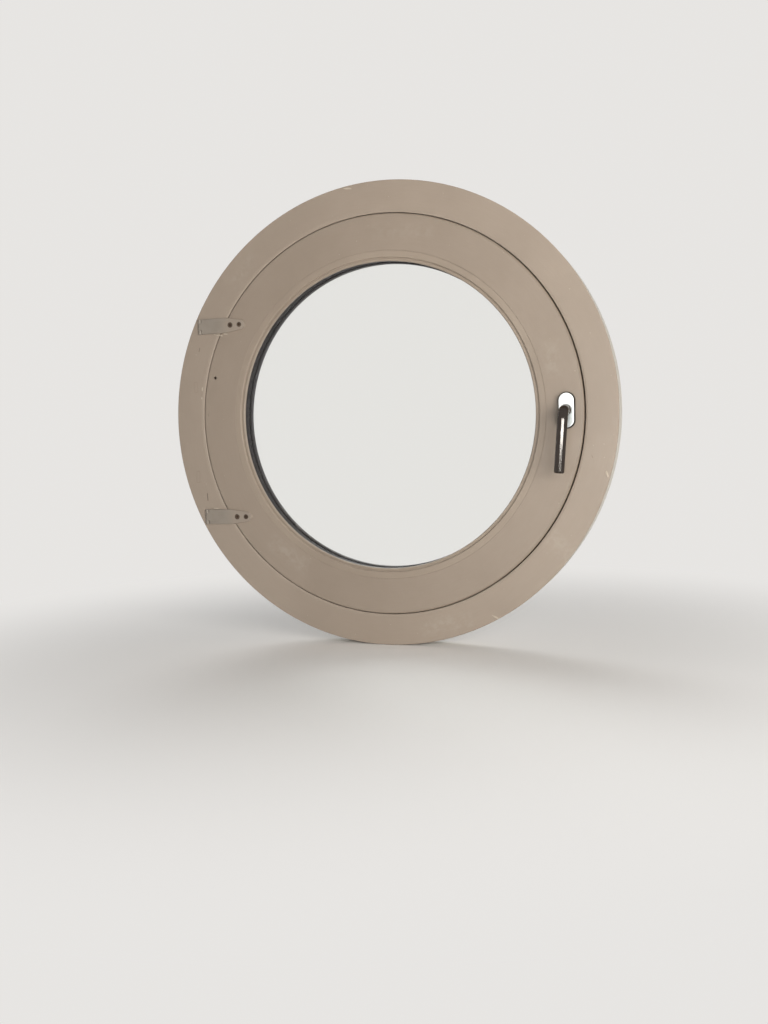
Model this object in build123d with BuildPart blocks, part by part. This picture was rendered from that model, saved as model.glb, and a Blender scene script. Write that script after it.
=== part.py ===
# Porthole window: a round, inward opening casement of painted timber with its frame.
# It is shown closed. The room lies towards -Y, the weather towards +Y, and Z is up.
# The origin is on the window's axis, halfway through the depth of the frame.
# A "depth" is a distance behind the inside face of frame and sash; the room has negative depths.
from build123d import *
from math import acos, cos, degrees, pi, radians, sin, sqrt, tan
import os

os.makedirs("parts", exist_ok=True)

# Frame ring: its outer radius, and its width from the outer edge to the rebate
frame_radius = 450.0
frame_width = 58.0
frame_depth = 58.0
rebate_depth = 44.0
face_edge_round = 2.5
rim_edge_round = 1.0
rebate_arris = 0.5

# Sash ring: its width runs from its edge to the glass rebate
sash_gap = 4.0
sash_width = 70.0
step_width = 18.0
sash_edge_round = 3.0
lip_slope_depth = 12.0
lip_slope_width = 14.0
vent_hole_radius = 2.5
vent_hole_depth = 8.0
vent_hole_inset = 28.5
vent_hole_height = 90.0

# Weather seal between the stop of the frame and the step of the sash
seal_height = 3.0
seal_width = 8.0
seal_tongue_width = 2.6
seal_tongue_depth = 4.8
seal_barb = 0.5
seal_slope = 1.0
seal_offset = 1.0
drain_radius = 2.5
drain_inset = 1.0
drain_count = 3
drain_spacing = 14.0

# Glazing: the bead covers the glass rebate, and the panes stand clear of it all round
bead_width = 20.0
pane_play = 5.0
bead_depth = 8.0
bead_drop = 0.3
inner_seal_thickness = 2.0
seal_setback = 1.0
seal_edge_gap = 1.0
seal_round = 0.4
inner_pane_thickness = 4.0
outer_pane_thickness = 4.0
cavity_depth = 16.0
spacer_width = 7.0
spacer_round = 0.8
sealant_width = 6.0
outer_tape_thickness = 3.0
pane_arris = 0.6
block_length = 80.0
block_angles = (-120.0, -60.0, 60.0, 120.0)

# Moulded edge of the glazing bead
bead_lip_width = 4.0
bead_lip_depth = 2.4
bead_lip_round = 1.8
bead_shoulder_round = 0.6
bead_quirk_width = 2.6
bead_quirk_drop = 1.2
bead_quirk_round = 0.4
bead_round = 2.5
bead_arris = 0.4

# Pins that hold the bead
pin_count = 12
bead_pin_radius = 0.7
bead_pin_grip = 12.0
bead_pin_depth = 5.6
bead_pin_sink = 0.3

# Strap hinges: the knuckles are let in until they are flush with the strap, with room beside
# them for the strap's face when the sash is wide open, and each leaf keeps a narrow flat land
# between its corner and the rounded edge
leaf_edge_land = 0.8
knuckle_radius = 4.2
knuckle_side_room = 0.65
hinge_pin_radius = 2.0
hinge_pin_round = 0.6
strap_width = 30.0
strap_thickness = 3.5
strap_edge_round = 0.8
strap_tip_inset = 37.0
strap_tip_radius = 9.5
strap_screw_insets = (15.0, 35.0)
eye_width = 14.0
eye_side_gap = 0.3
shoulder_gap = 0.8
leaf_thickness = 3.0
leaf_gap = 0.4
leaf_end_wood = 7.0
leaf_screw_insets = (21.0, 7.0)
leaf_screw_stagger = 7.0

# Screws: head radius, shank radius, length
strap_screw = (4.2, 2.1, 34.0)
leaf_screw = (4.0, 2.0, 32.0)
plate_screw = (3.2, 1.6, 16.0)
rosette_screw = (4.4, 2.2, 26.0)
screw_slot_width = 0.9
screw_slot_depth = 1.2
screw_slot_share = 1.3

# Rosette and lever handle
handle_inset = 32.0
handle_lean = 4.6
rosette_width = 31.0
rosette_height = 67.0
rosette_thickness = 9.5
rosette_wall = 1.3
rosette_edge_round = 2.6
rosette_screw_offset = 21.5
base_head_gap = 0.4
journal_radius = 8.0
journal_start = 0.5
journal_groove = 0.9
journal_land = 0.4
circlip_thickness = 1.0
circlip_width = 2.0
circlip_side_room = 0.6
circlip_opening = 70.0
collar_radius = 11.0
collar_length = 13.0
collar_taper = 7.0
collar_gap = 0.3
collar_edge_round = 0.8
collar_shoulder_round = 2.0
grip_radius = 9.4
grip_standoff = 48.0
grip_length = 114.0
grip_elbow_radius = 15.0
grip_end_round = 3.2
grip_root = 2.0
spindle_width = 7.0
spindle_reach = 33.0
spindle_chamfer = 0.6
grub_screw_radius = 2.5
grub_screw_length = 6.0
grub_screw_height = 17.0
grub_socket_radius = 1.2
grub_socket_depth = 3.0

# Mortise lock: pinion, rack bolt, case
pinion_teeth = 8
pitch_radius = 9.0
tooth_addendum = 0.9
pinion_dedendum = 1.2
rack_dedendum = 1.1
pressure_angle = radians(20)
backlash = 0.12
hub_radius = 7.0
pinion_width = 9.6
flank_steps = 5
rack_teeth = 4
rack_end_land = 0.8
bolt_height = 11.9
bolt_retract_depth = 0.25
bolt_nose_bevel = 1.5
lock_step_distance = 12.0
case_wall = 2.0
case_side_gap = 0.2
case_head_room = 3.0
case_tail_gap = 1.5
rivet_radius = 1.5
rivet_inset = 3.0
faceplate_thickness = 3.0
faceplate_width = 16.0
faceplate_end_land = 15.8
faceplate_setback = 2.0
strike_thickness = 2.5
strike_width = 20.0
strike_end_land = 11.2
strike_stand = 1.0
strike_corner_round = 1.5
strike_slot_gap = 0.8
bolt_pocket_gap = 2.0
plate_screw_inset = 6.5

# Clearances
turning_clearance = 0.05
seat_clearance = 0.05
housing_clearance = 0.15
square_clearance = 0.05
screw_clearance = 0.05
cover_hole_clearance = 0.2

# How far a cut runs past the surface that it opens
cut_margin = 1.0

# Worked out from the values above
rebate_radius = frame_radius - frame_width
sash_radius = rebate_radius - sash_gap
glass_rebate_radius = sash_radius - sash_width
sight_radius = glass_rebate_radius - bead_width
pane_radius = glass_rebate_radius - pane_play
sash_step_depth = rebate_depth - seal_height
sash_rear_radius = sash_radius - step_width
vent_hole_x = vent_hole_inset - sash_radius
handle_x = sash_radius - handle_inset
base_thickness = rosette_thickness - rosette_wall - base_head_gap
bead_pin_length = bead_width + bead_pin_grip
stop_radius = sash_rear_radius + sash_gap
seal_mid_radius = (stop_radius + rebate_radius) / 2 - seal_offset
inner_pane_depth = bead_depth + inner_seal_thickness
cavity_start = inner_pane_depth + inner_pane_thickness
outer_pane_depth = cavity_start + cavity_depth
tape_start = outer_pane_depth + outer_pane_thickness
lip_start = tape_start + outer_tape_thickness
spacer_inner = pane_radius - sealant_width - spacer_width
seal_outer_radius = glass_rebate_radius - seal_edge_gap
hinge_x = -(sash_radius + sash_gap / 2)
hinge_depth = knuckle_radius - strap_thickness
hinge_y = hinge_depth - frame_depth / 2
leaf_outer_end = hinge_x - knuckle_radius
hinge_corner_radius = frame_radius - face_edge_round - leaf_edge_land
hinge_height = sqrt(hinge_corner_radius**2 - leaf_outer_end**2) - strap_width / 2
strap_joint_x = -sqrt(sash_radius**2 - hinge_height**2)
strap_tip_x = strap_joint_x + strap_tip_inset
strap_shoulder = hinge_x + knuckle_radius + shoulder_gap
leaf_inner_end = -leaf_end_wood - sqrt(rebate_radius**2 - (hinge_height - strap_width / 2) ** 2)
knuckle_pocket_depth = hinge_depth + knuckle_radius + housing_clearance
housing_left = leaf_outer_end - housing_clearance
housing_right = leaf_inner_end + housing_clearance
faceplate_x = sash_radius - faceplate_setback
lock_depth = sash_step_depth - lock_step_distance
lock_y = lock_depth - frame_depth / 2
base_radius = pitch_radius * cos(pressure_angle)
root_radius = pitch_radius - pinion_dedendum
tip_radius = pitch_radius + tooth_addendum
circular_pitch = 2 * pi * pitch_radius / pinion_teeth
rack_half_tip = circular_pitch / 4 - tooth_addendum * tan(pressure_angle)
rack_half_root = circular_pitch / 4 + rack_dedendum * tan(pressure_angle)
bolt_throw = pitch_radius * pi / 2
bolt_top = -(pitch_radius + rack_dedendum)
bolt_bottom = bolt_top - bolt_height
bolt_middle = (bolt_top + bolt_bottom) / 2
faceplate_height = 2 * (case_side_gap + faceplate_end_land - bolt_bottom)
strike_height = 2 * (strike_slot_gap + strike_end_land - bolt_bottom)
bolt_shift = -pitch_radius * radians(handle_lean)
bolt_nose = faceplate_x - bolt_retract_depth + bolt_throw + bolt_shift
bolt_tail = handle_x + bolt_shift - circular_pitch / 2 - rack_half_root - rack_end_land
case_front = faceplate_x - faceplate_thickness
case_left = bolt_tail - bolt_shift - bolt_throw - case_tail_gap - case_wall
case_top = tip_radius + case_head_room + case_wall
case_bottom = bolt_bottom - case_side_gap - case_wall
cavity_width = pinion_width + 2 * case_side_gap
case_width = cavity_width + 2 * case_wall
hub_length = case_width - 2 * case_side_gap
strike_x = rebate_radius - strike_stand
strike_back = strike_x + strike_thickness
circlip_start = journal_start + journal_land
circlip_recess = circlip_start + circlip_thickness + 2 * turning_clearance
collar_start = rosette_thickness + collar_gap
lean = radians(handle_lean)


def at_depth(depth):
    """Y of the plane at this depth behind the inside face."""
    return depth - frame_depth / 2


def face_plane(depth):
    """Plane across the window at a depth, seen from the room: X right, Z up, normal to the room."""
    return Plane.XZ.offset(frame_depth / 2 - depth)


def section(points):
    """Points of a ring's section, given as radius and depth."""
    return [(radius, at_depth(depth)) for radius, depth in points]


def handle_plane(reach):
    """Plane across the handle's axis, this far from the sash face into the room."""
    return Plane(
        origin=(handle_x, at_depth(-reach), 0),
        x_dir=(cos(lean), 0, -sin(lean)),
        z_dir=(0, -1, 0),
    )


def seat_plane(x, depth, z):
    """Plane through one point at a depth, its normal to the room."""
    return Plane(origin=(x, at_depth(depth), z), x_dir=(1, 0, 0), z_dir=(0, -1, 0))


def bead_pin_plane(number):
    """Plane across one of the bead's pins, where it enters at the sight edge."""
    angle = 2 * pi * (number + 0.5) / pin_count
    return Plane(
        origin=(sight_radius * cos(angle), at_depth(bead_pin_depth), sight_radius * sin(angle)),
        z_dir=(cos(angle), 0, sin(angle)),
    )


def save(piece, name):
    """Labels a finished piece and writes it under the same name."""
    piece.part.label = name
    export_step(piece.part, f"parts/{name}.step")


def add_screw(seat, size):
    """One countersunk wood screw with a cross slot, its head flush with the seat plane."""
    head_radius, shank_radius, length = size
    head_depth = head_radius - shank_radius
    along = Plane(origin=seat.origin, x_dir=seat.x_dir, z_dir=seat.y_dir)
    with BuildSketch(along) as profile:
        with BuildLine():
            Polyline(
                (0, 0),
                (head_radius, 0),
                (shank_radius, head_depth),
                (shank_radius, length - 2 * shank_radius),
                (0, length),
                close=True,
            )
        make_face()
    revolve(profile.sketch, axis=Axis(seat.origin, seat.z_dir))
    slot_length = screw_slot_share * head_radius
    with BuildSketch(seat) as slot:
        Rectangle(slot_length, screw_slot_width)
        Rectangle(screw_slot_width, slot_length)
    extrude(slot.sketch, amount=-screw_slot_depth, mode=Mode.SUBTRACT)


def cut_screw_hole(seat, size):
    """The hole that a screw's shank fills, cut from the seat plane."""
    shank_radius, length = size[1:]
    with Locations(seat):
        Hole(shank_radius + screw_clearance, depth=length + screw_clearance)


def cut_screw_seat(seat, size):
    """A countersunk through hole for a screw whose head is flush with the seat plane."""
    head_radius, shank_radius = size[:2]
    with Locations(seat):
        CounterSinkHole(
            radius=shank_radius + screw_clearance,
            counter_sink_radius=head_radius + screw_clearance,
            counter_sink_angle=90,
        )


def strap_screw_seats(height):
    places = [strap_joint_x + inset for inset in strap_screw_insets]
    return [seat_plane(x, -strap_thickness, height) for x in places]


def leaf_screw_seats(height):
    staggers = (leaf_screw_stagger, -leaf_screw_stagger)
    places = zip(leaf_screw_insets, staggers)
    return [seat_plane(leaf_inner_end - inset, leaf_gap, height + stagger) for inset, stagger in places]


def rosette_screw_seats():
    return [seat_plane(handle_x, -base_thickness, side * rosette_screw_offset) for side in (1, -1)]


def faceplate_screw_seats():
    z = faceplate_height / 2 - plate_screw_inset
    outward = (1, 0, 0)
    origins = [(faceplate_x, lock_y, side * z) for side in (1, -1)]
    return [Plane(origin=origin, x_dir=(0, 1, 0), z_dir=outward) for origin in origins]


def strike_screw_seats():
    z = strike_height / 2 - plate_screw_inset
    inward = (-1, 0, 0)
    origins = [(strike_x, lock_y, side * z) for side in (1, -1)]
    return [Plane(origin=origin, x_dir=(0, 1, 0), z_dir=inward) for origin in origins]


# Outer frame: rebated ring, seal groove in the stop, housings for hinge leaves and strike plate
with BuildPart() as outer_frame:
    with BuildSketch(Plane.XY):
        with BuildLine():
            FilletPolyline(
                section(
                    [
                        (rebate_radius, 0),
                        (frame_radius, 0),
                        (frame_radius, frame_depth),
                        (stop_radius, frame_depth),
                        (stop_radius, rebate_depth),
                        (rebate_radius, rebate_depth),
                    ]
                ),
                radius=[face_edge_round, rim_edge_round, rim_edge_round, face_edge_round, 0, 0],
                close=True,
            )
        make_face()
        with Locations((seal_mid_radius, at_depth(rebate_depth + seal_tongue_depth / 2))):
            Rectangle(seal_tongue_width, seal_tongue_depth, mode=Mode.SUBTRACT)
    revolve(axis=Axis.Y)
    for number in range(drain_count):
        angle = radians(-90 + (number - (drain_count - 1) / 2) * drain_spacing)
        drain_circle = rebate_radius - drain_inset - drain_radius
        with BuildSketch(face_plane(rebate_depth)):
            with Locations((drain_circle * cos(angle), drain_circle * sin(angle))):
                Circle(drain_radius)
        extrude(amount=-(frame_depth - rebate_depth), mode=Mode.SUBTRACT)
    for height in (hinge_height, -hinge_height):
        with BuildSketch(Plane.XY.offset(height - strap_width / 2 - housing_clearance)):
            with Locations(((housing_left + housing_right) / 2, at_depth(0))):
                Rectangle(housing_right - housing_left, 2 * (leaf_gap + leaf_thickness))
            with Locations((hinge_x, at_depth(0))):
                Rectangle(2 * (knuckle_radius + knuckle_side_room), 2 * knuckle_pocket_depth)
        extrude(amount=strap_width + 2 * housing_clearance, mode=Mode.SUBTRACT)
        for seat in leaf_screw_seats(height):
            cut_screw_hole(seat, leaf_screw)
    with BuildSketch(Plane.YZ.offset(strike_back)):
        with Locations((lock_y, 0)):
            Rectangle(strike_width + 2 * seat_clearance, strike_height + 2 * seat_clearance)
    extrude(amount=-(strike_back - sash_radius), mode=Mode.SUBTRACT)
    with BuildSketch(Plane.YZ.offset(strike_back)):
        with Locations((lock_y, bolt_middle)):
            Rectangle(pinion_width + 2 * strike_slot_gap, bolt_height + 2 * strike_slot_gap)
    extrude(amount=bolt_nose - bolt_shift + bolt_pocket_gap - strike_back, mode=Mode.SUBTRACT)
    for seat in strike_screw_seats():
        cut_screw_hole(seat, plate_screw)
save(outer_frame, "outer_frame")

# Weather seal: flat lip that the sash closes on, and a barbed tongue in the groove of the stop
with BuildPart() as frame_seal:
    with BuildSketch(Plane.XY):
        tongue_half = seal_tongue_width / 2 - seat_clearance
        neck_half = tongue_half - seal_barb
        tongue_end = rebate_depth + seal_tongue_depth - seat_clearance
        barb_end = tongue_end - 2 * seal_barb
        with BuildLine():
            Polyline(
                section(
                    [
                        (seal_mid_radius - seal_width / 2 + seal_slope, sash_step_depth),
                        (seal_mid_radius + seal_width / 2 - seal_slope, sash_step_depth),
                        (seal_mid_radius + seal_width / 2, rebate_depth),
                        (seal_mid_radius + neck_half, rebate_depth),
                        (seal_mid_radius + neck_half, barb_end),
                        (seal_mid_radius + tongue_half, barb_end),
                        (seal_mid_radius + neck_half, tongue_end),
                        (seal_mid_radius - neck_half, tongue_end),
                        (seal_mid_radius - tongue_half, barb_end),
                        (seal_mid_radius - neck_half, barb_end),
                        (seal_mid_radius - neck_half, rebate_depth),
                        (seal_mid_radius - seal_width / 2, rebate_depth),
                    ]
                ),
                close=True,
            )
        make_face()
    revolve(axis=Axis.Y)
save(frame_seal, "frame_seal")

# Sash: ring with a step towards the weather, a glass rebate open to the room and a sloped outer lip
with BuildPart() as sash:
    with BuildSketch(Plane.XY):
        with BuildLine():
            FilletPolyline(
                section(
                    [
                        (glass_rebate_radius, 0),
                        (sash_radius, 0),
                        (sash_radius, sash_step_depth),
                        (sash_rear_radius, sash_step_depth),
                        (sash_rear_radius, frame_depth),
                        (sight_radius + lip_slope_width, frame_depth),
                        (sight_radius, frame_depth - lip_slope_depth),
                        (sight_radius, lip_start),
                        (glass_rebate_radius, lip_start),
                    ]
                ),
                radius=[
                    rebate_arris,
                    sash_edge_round,
                    rim_edge_round,
                    0,
                    sash_edge_round,
                    rim_edge_round,
                    rim_edge_round,
                    rebate_arris,
                    0,
                ],
                close=True,
            )
        make_face()
    revolve(axis=Axis.Y)
    for height in (hinge_height, -hinge_height):
        for seat in strap_screw_seats(height):
            cut_screw_hole(seat, strap_screw)
    with BuildSketch(face_plane(0)):
        with Locations((vent_hole_x, vent_hole_height)):
            Circle(vent_hole_radius)
    extrude(amount=-vent_hole_depth, mode=Mode.SUBTRACT)
    with BuildSketch(face_plane(0)):
        with Locations((handle_x, 0)):
            Circle(journal_radius)
    extrude(amount=-lock_depth, mode=Mode.SUBTRACT)
    for seat in rosette_screw_seats():
        cut_screw_hole(seat, rosette_screw)
    with BuildSketch(Plane.YZ.offset(case_left - seat_clearance)):
        with Locations((lock_y, (case_top + case_bottom) / 2)):
            Rectangle(case_width + 2 * housing_clearance, case_top - case_bottom + 2 * housing_clearance)
    extrude(amount=sash_radius + cut_margin - case_left, mode=Mode.SUBTRACT)
    with BuildSketch(Plane.YZ.offset(case_front)):
        with Locations((lock_y, 0)):
            SlotOverall(
                faceplate_height + 2 * housing_clearance,
                faceplate_width + 2 * housing_clearance,
                rotation=90,
            )
    extrude(amount=sash_radius + cut_margin - case_front, mode=Mode.SUBTRACT)
    for seat in faceplate_screw_seats():
        cut_screw_hole(seat, plate_screw)
    for number in range(pin_count):
        with BuildSketch(bead_pin_plane(number)):
            Circle(bead_pin_radius + screw_clearance)
        extrude(amount=bead_pin_length + cut_margin, mode=Mode.SUBTRACT)
save(sash, "sash")

# Glazing bead: ring in the glass rebate, moulded with a small lip, a quirk and a round
with BuildPart() as glazing_bead:
    quirk_radius = sight_radius + bead_lip_width
    quirk_depth = bead_lip_depth + bead_quirk_drop
    round_radius = quirk_radius + bead_quirk_width
    with BuildSketch(Plane.XY):
        with BuildLine():
            FilletPolyline(
                section(
                    [
                        (sight_radius, bead_depth),
                        (sight_radius, bead_lip_depth),
                        (quirk_radius, bead_lip_depth),
                        (quirk_radius, quirk_depth),
                        (round_radius, quirk_depth),
                        (round_radius, bead_drop),
                        (glass_rebate_radius - seat_clearance, bead_drop),
                        (glass_rebate_radius - seat_clearance, bead_depth),
                    ]
                ),
                radius=[
                    bead_arris,
                    bead_lip_round,
                    bead_shoulder_round,
                    bead_quirk_round,
                    bead_quirk_round,
                    bead_round,
                    bead_arris,
                    0,
                ],
                close=True,
            )
        make_face()
    revolve(axis=Axis.Y)
    for number in range(pin_count):
        with BuildSketch(bead_pin_plane(number).offset(-cut_margin)):
            Circle(bead_pin_radius + screw_clearance)
        extrude(amount=bead_pin_length, mode=Mode.SUBTRACT)
save(glazing_bead, "glazing_bead")

# Pins driven from the sight edge through the bead into the sash
with BuildPart() as bead_pins:
    for number in range(pin_count):
        with BuildSketch(bead_pin_plane(number).offset(bead_pin_sink)):
            Circle(bead_pin_radius)
        extrude(amount=bead_pin_length)
save(bead_pins, "bead_pins")


def save_ring(name, inner_radius, outer_radius, start_depth, end_depth, edge=0.0):
    """A flat ring between two depths, its four corners rounded by edge."""
    with BuildPart() as ring:
        with BuildSketch(Plane.XY):
            with BuildLine():
                FilletPolyline(
                    section(
                        [
                            (inner_radius, start_depth),
                            (outer_radius, start_depth),
                            (outer_radius, end_depth),
                            (inner_radius, end_depth),
                        ]
                    ),
                    radius=edge,
                    close=True,
                )
            make_face()
        revolve(axis=Axis.Y)
    save(ring, name)


def save_pane(name, start_depth, thickness):
    """A round pane with ground edges."""
    with BuildPart() as pane:
        with BuildSketch(face_plane(start_depth)):
            Circle(pane_radius)
        extrude(amount=-thickness)
        chamfer(pane.edges(), length=min(pane_arris, thickness / 4))
    save(pane, name)


# Double glazing between the bead and the lip of the sash
seal_inner_radius = sight_radius + seal_setback
spacer_outer = spacer_inner + spacer_width
save_ring(
    "inner_glazing_seal", seal_inner_radius, seal_outer_radius, bead_depth, inner_pane_depth, seal_round
)
save_pane("inner_pane", inner_pane_depth, inner_pane_thickness)
save_ring("spacer_bar", spacer_inner, spacer_outer, cavity_start, outer_pane_depth, spacer_round)
save_ring("edge_sealant", spacer_outer, pane_radius - pane_arris, cavity_start, outer_pane_depth)
save_pane("outer_pane", outer_pane_depth, outer_pane_thickness)
save_ring("outer_glazing_tape", seal_inner_radius, seal_outer_radius, tape_start, lip_start, seal_round)

# Setting blocks between the edge of the glazing unit and the rebate
with BuildPart() as setting_blocks:
    block_arc = degrees(block_length / glass_rebate_radius)
    block_height = glass_rebate_radius - pane_radius - 2 * seat_clearance
    block_radius = (pane_radius + glass_rebate_radius) / 2
    block_depth = (inner_pane_depth + tape_start) / 2
    for middle in block_angles:
        angle = radians(middle + block_arc / 2)
        across = Plane(
            origin=(0, 0, 0),
            x_dir=(cos(angle), 0, sin(angle)),
            z_dir=(-sin(angle), 0, cos(angle)),
        )
        with BuildSketch(across):
            with Locations((block_radius, at_depth(block_depth))):
                Rectangle(block_height, tape_start - inner_pane_depth)
        revolve(axis=Axis.Y, revolution_arc=block_arc)
save(setting_blocks, "setting_blocks")


def save_hinge_leaf(name, height):
    """Leaf let into the frame's face, with two eyes at its outer end."""
    with BuildPart() as leaf:
        with BuildSketch(Plane.XY.offset(height - strap_width / 2)):
            with Locations(((hinge_x + leaf_inner_end) / 2, at_depth(leaf_gap + leaf_thickness / 2))):
                Rectangle(leaf_inner_end - hinge_x, leaf_thickness)
            with Locations((hinge_x, hinge_y)):
                Circle(knuckle_radius)
                Circle(hinge_pin_radius + turning_clearance / 2, mode=Mode.SUBTRACT)
        extrude(amount=strap_width)
        with BuildSketch(Plane.XY.offset(height - eye_width / 2 - eye_side_gap)):
            with Locations((hinge_x, hinge_y)):
                Rectangle(2 * (knuckle_radius + eye_side_gap), 2 * (knuckle_radius + cut_margin))
        extrude(amount=eye_width + 2 * eye_side_gap, mode=Mode.SUBTRACT)
        for seat in leaf_screw_seats(height):
            cut_screw_seat(seat, leaf_screw)
    save(leaf, name)


def save_hinge_strap(name, height):
    """Strap on the sash's face: broad over the joint, tapered to a round tip, with one eye."""
    with BuildPart() as strap:
        broad_middle = (strap_shoulder + strap_joint_x) / 2
        tongue_end = strap_shoulder + cut_margin
        with BuildSketch(face_plane(0)):
            with Locations((broad_middle, height)):
                Rectangle(strap_joint_x - strap_shoulder, strap_width)
            with Locations((strap_tip_x, height)):
                Circle(strap_tip_radius)
            make_hull()
        extrude(amount=strap_thickness)
        top_face = strap.faces().sort_by(Axis.Y)[0]
        fillet(top_face.edges(), radius=strap_edge_round)
        with BuildSketch(Plane.XY.offset(height - eye_width / 2)):
            with Locations(((hinge_x + tongue_end) / 2, at_depth(-strap_thickness / 2))):
                Rectangle(tongue_end - hinge_x, strap_thickness)
            with Locations((hinge_x, hinge_y)):
                Circle(knuckle_radius)
        extrude(amount=eye_width)
        with BuildSketch(Plane.XY.offset(height - eye_width / 2)):
            with Locations((hinge_x, hinge_y)):
                Circle(hinge_pin_radius + turning_clearance)
        extrude(amount=eye_width, mode=Mode.SUBTRACT)
        for seat in strap_screw_seats(height):
            cut_screw_seat(seat, strap_screw)
    save(strap, name)


def save_hinge_pin(name, height):
    """Pin through the three eyes, flush with them and rounded at its ends."""
    with BuildPart() as pin:
        with BuildSketch(Plane.XY.offset(height - strap_width / 2)):
            with Locations((hinge_x, hinge_y)):
                Circle(hinge_pin_radius)
        extrude(amount=strap_width)
        fillet(pin.edges().filter_by(GeomType.CIRCLE), radius=hinge_pin_round)
    save(pin, name)


# Two strap hinges on a common vertical axis
for prefix, height in (("upper", hinge_height), ("lower", -hinge_height)):
    save_hinge_leaf(f"{prefix}_hinge_leaf", height)
    save_hinge_strap(f"{prefix}_hinge_strap", height)
    save_hinge_pin(f"{prefix}_hinge_pin", height)

with BuildPart() as hinge_strap_screws:
    for height in (hinge_height, -hinge_height):
        for seat in strap_screw_seats(height):
            add_screw(seat, strap_screw)
save(hinge_strap_screws, "hinge_strap_screws")

with BuildPart() as hinge_leaf_screws:
    for height in (hinge_height, -hinge_height):
        for seat in leaf_screw_seats(height):
            add_screw(seat, leaf_screw)
save(hinge_leaf_screws, "hinge_leaf_screws")

# Rosette: a base screwed to the sash, and a thin cover snapped over it
with BuildPart() as rosette_base:
    with BuildSketch(face_plane(0)):
        with Locations((handle_x, 0)):
            SlotOverall(
                rosette_height - 2 * (rosette_wall + seat_clearance),
                rosette_width - 2 * (rosette_wall + seat_clearance),
                rotation=90,
            )
    extrude(amount=base_thickness)
    with BuildSketch(face_plane(0)):
        with Locations((handle_x, 0)):
            Circle(journal_radius + turning_clearance)
    extrude(amount=base_thickness, mode=Mode.SUBTRACT)
    with BuildSketch(face_plane(0)):
        with Locations((handle_x, 0)):
            Circle(journal_radius + circlip_width + circlip_side_room)
    extrude(amount=circlip_recess, mode=Mode.SUBTRACT)
    for seat in rosette_screw_seats():
        cut_screw_seat(seat, rosette_screw)
save(rosette_base, "rosette_base")

with BuildPart() as rosette_cover:
    with BuildSketch(face_plane(0)):
        with Locations((handle_x, 0)):
            SlotOverall(rosette_height, rosette_width, rotation=90)
    extrude(amount=rosette_thickness)
    fillet(rosette_cover.faces().sort_by(Axis.Y)[0].edges(), radius=rosette_edge_round)
    with BuildSketch(face_plane(0)):
        with Locations((handle_x, 0)):
            SlotOverall(rosette_height - 2 * rosette_wall, rosette_width - 2 * rosette_wall, rotation=90)
    extrude(amount=rosette_thickness - rosette_wall, mode=Mode.SUBTRACT)
    with BuildSketch(face_plane(0)):
        with Locations((handle_x, 0)):
            Circle(journal_radius + cover_hole_clearance)
    extrude(amount=rosette_thickness, mode=Mode.SUBTRACT)
save(rosette_cover, "rosette_cover")

with BuildPart() as rosette_screws:
    for seat in rosette_screw_seats():
        add_screw(seat, rosette_screw)
save(rosette_screws, "rosette_screws")

# Lever: a round bar bent once, with a collar, a journal in the rosette and a square socket
with BuildPart() as handle_lever:
    axis_plane = handle_plane(0)
    lever_plane = Plane(origin=axis_plane.origin, x_dir=axis_plane.z_dir, z_dir=axis_plane.x_dir)
    handle_axis = Axis(axis_plane.origin, axis_plane.z_dir)
    taper_start = collar_start + collar_length
    taper_end = taper_start + collar_taper
    with BuildSketch(lever_plane):
        with BuildLine():
            FilletPolyline(
                (collar_start, 0),
                (collar_start, collar_radius),
                (taper_start, collar_radius),
                (taper_end, grip_radius),
                (taper_end, 0),
                radius=[collar_edge_round, collar_shoulder_round, 0],
            )
            Line((taper_end, 0), (collar_start, 0))
        make_face()
    revolve(axis=handle_axis)
    with BuildLine(lever_plane) as lever_path:
        FilletPolyline(
            (collar_start + grip_root, 0),
            (grip_standoff, 0),
            (grip_standoff, grip_length),
            radius=grip_elbow_radius,
        )
    with BuildSketch(handle_plane(collar_start + grip_root)):
        Circle(grip_radius)
    sweep(path=lever_path.line)
    grip_end = handle_lever.faces().sort_by(Axis(axis_plane.origin, -axis_plane.y_dir))[-1]
    fillet(grip_end.edges(), radius=grip_end_round)
    with BuildSketch(handle_plane(journal_start)):
        Circle(journal_radius)
    extrude(amount=collar_start - journal_start)
    with BuildSketch(handle_plane(circlip_start)):
        Circle(journal_radius + cut_margin)
        Circle(journal_radius - journal_groove, mode=Mode.SUBTRACT)
    extrude(amount=circlip_thickness + seat_clearance, mode=Mode.SUBTRACT)
    with BuildSketch(axis_plane):
        Rectangle(spindle_width + 2 * square_clearance, spindle_width + 2 * square_clearance)
    extrude(amount=spindle_reach + cut_margin, mode=Mode.SUBTRACT)
    grub_plane = Plane(
        origin=axis_plane.origin + axis_plane.z_dir * grub_screw_height,
        x_dir=axis_plane.x_dir,
        z_dir=-axis_plane.y_dir,
    )
    with BuildSketch(grub_plane):
        Circle(grub_screw_radius + screw_clearance)
    extrude(amount=collar_radius + cut_margin, mode=Mode.SUBTRACT)
save(handle_lever, "handle_lever")

with BuildPart() as handle_circlip:
    with BuildSketch(handle_plane(circlip_start)):
        Circle(journal_radius + circlip_width)
        Circle(journal_radius - journal_groove + seat_clearance, mode=Mode.SUBTRACT)
        with BuildLine():
            opening = radians(circlip_opening / 2)
            reach = 2 * journal_radius
            Polyline(
                (0, 0),
                (reach * sin(opening), -reach * cos(opening)),
                (-reach * sin(opening), -reach * cos(opening)),
                close=True,
            )
        make_face(mode=Mode.SUBTRACT)
    extrude(amount=circlip_thickness)
save(handle_circlip, "handle_circlip")

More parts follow.
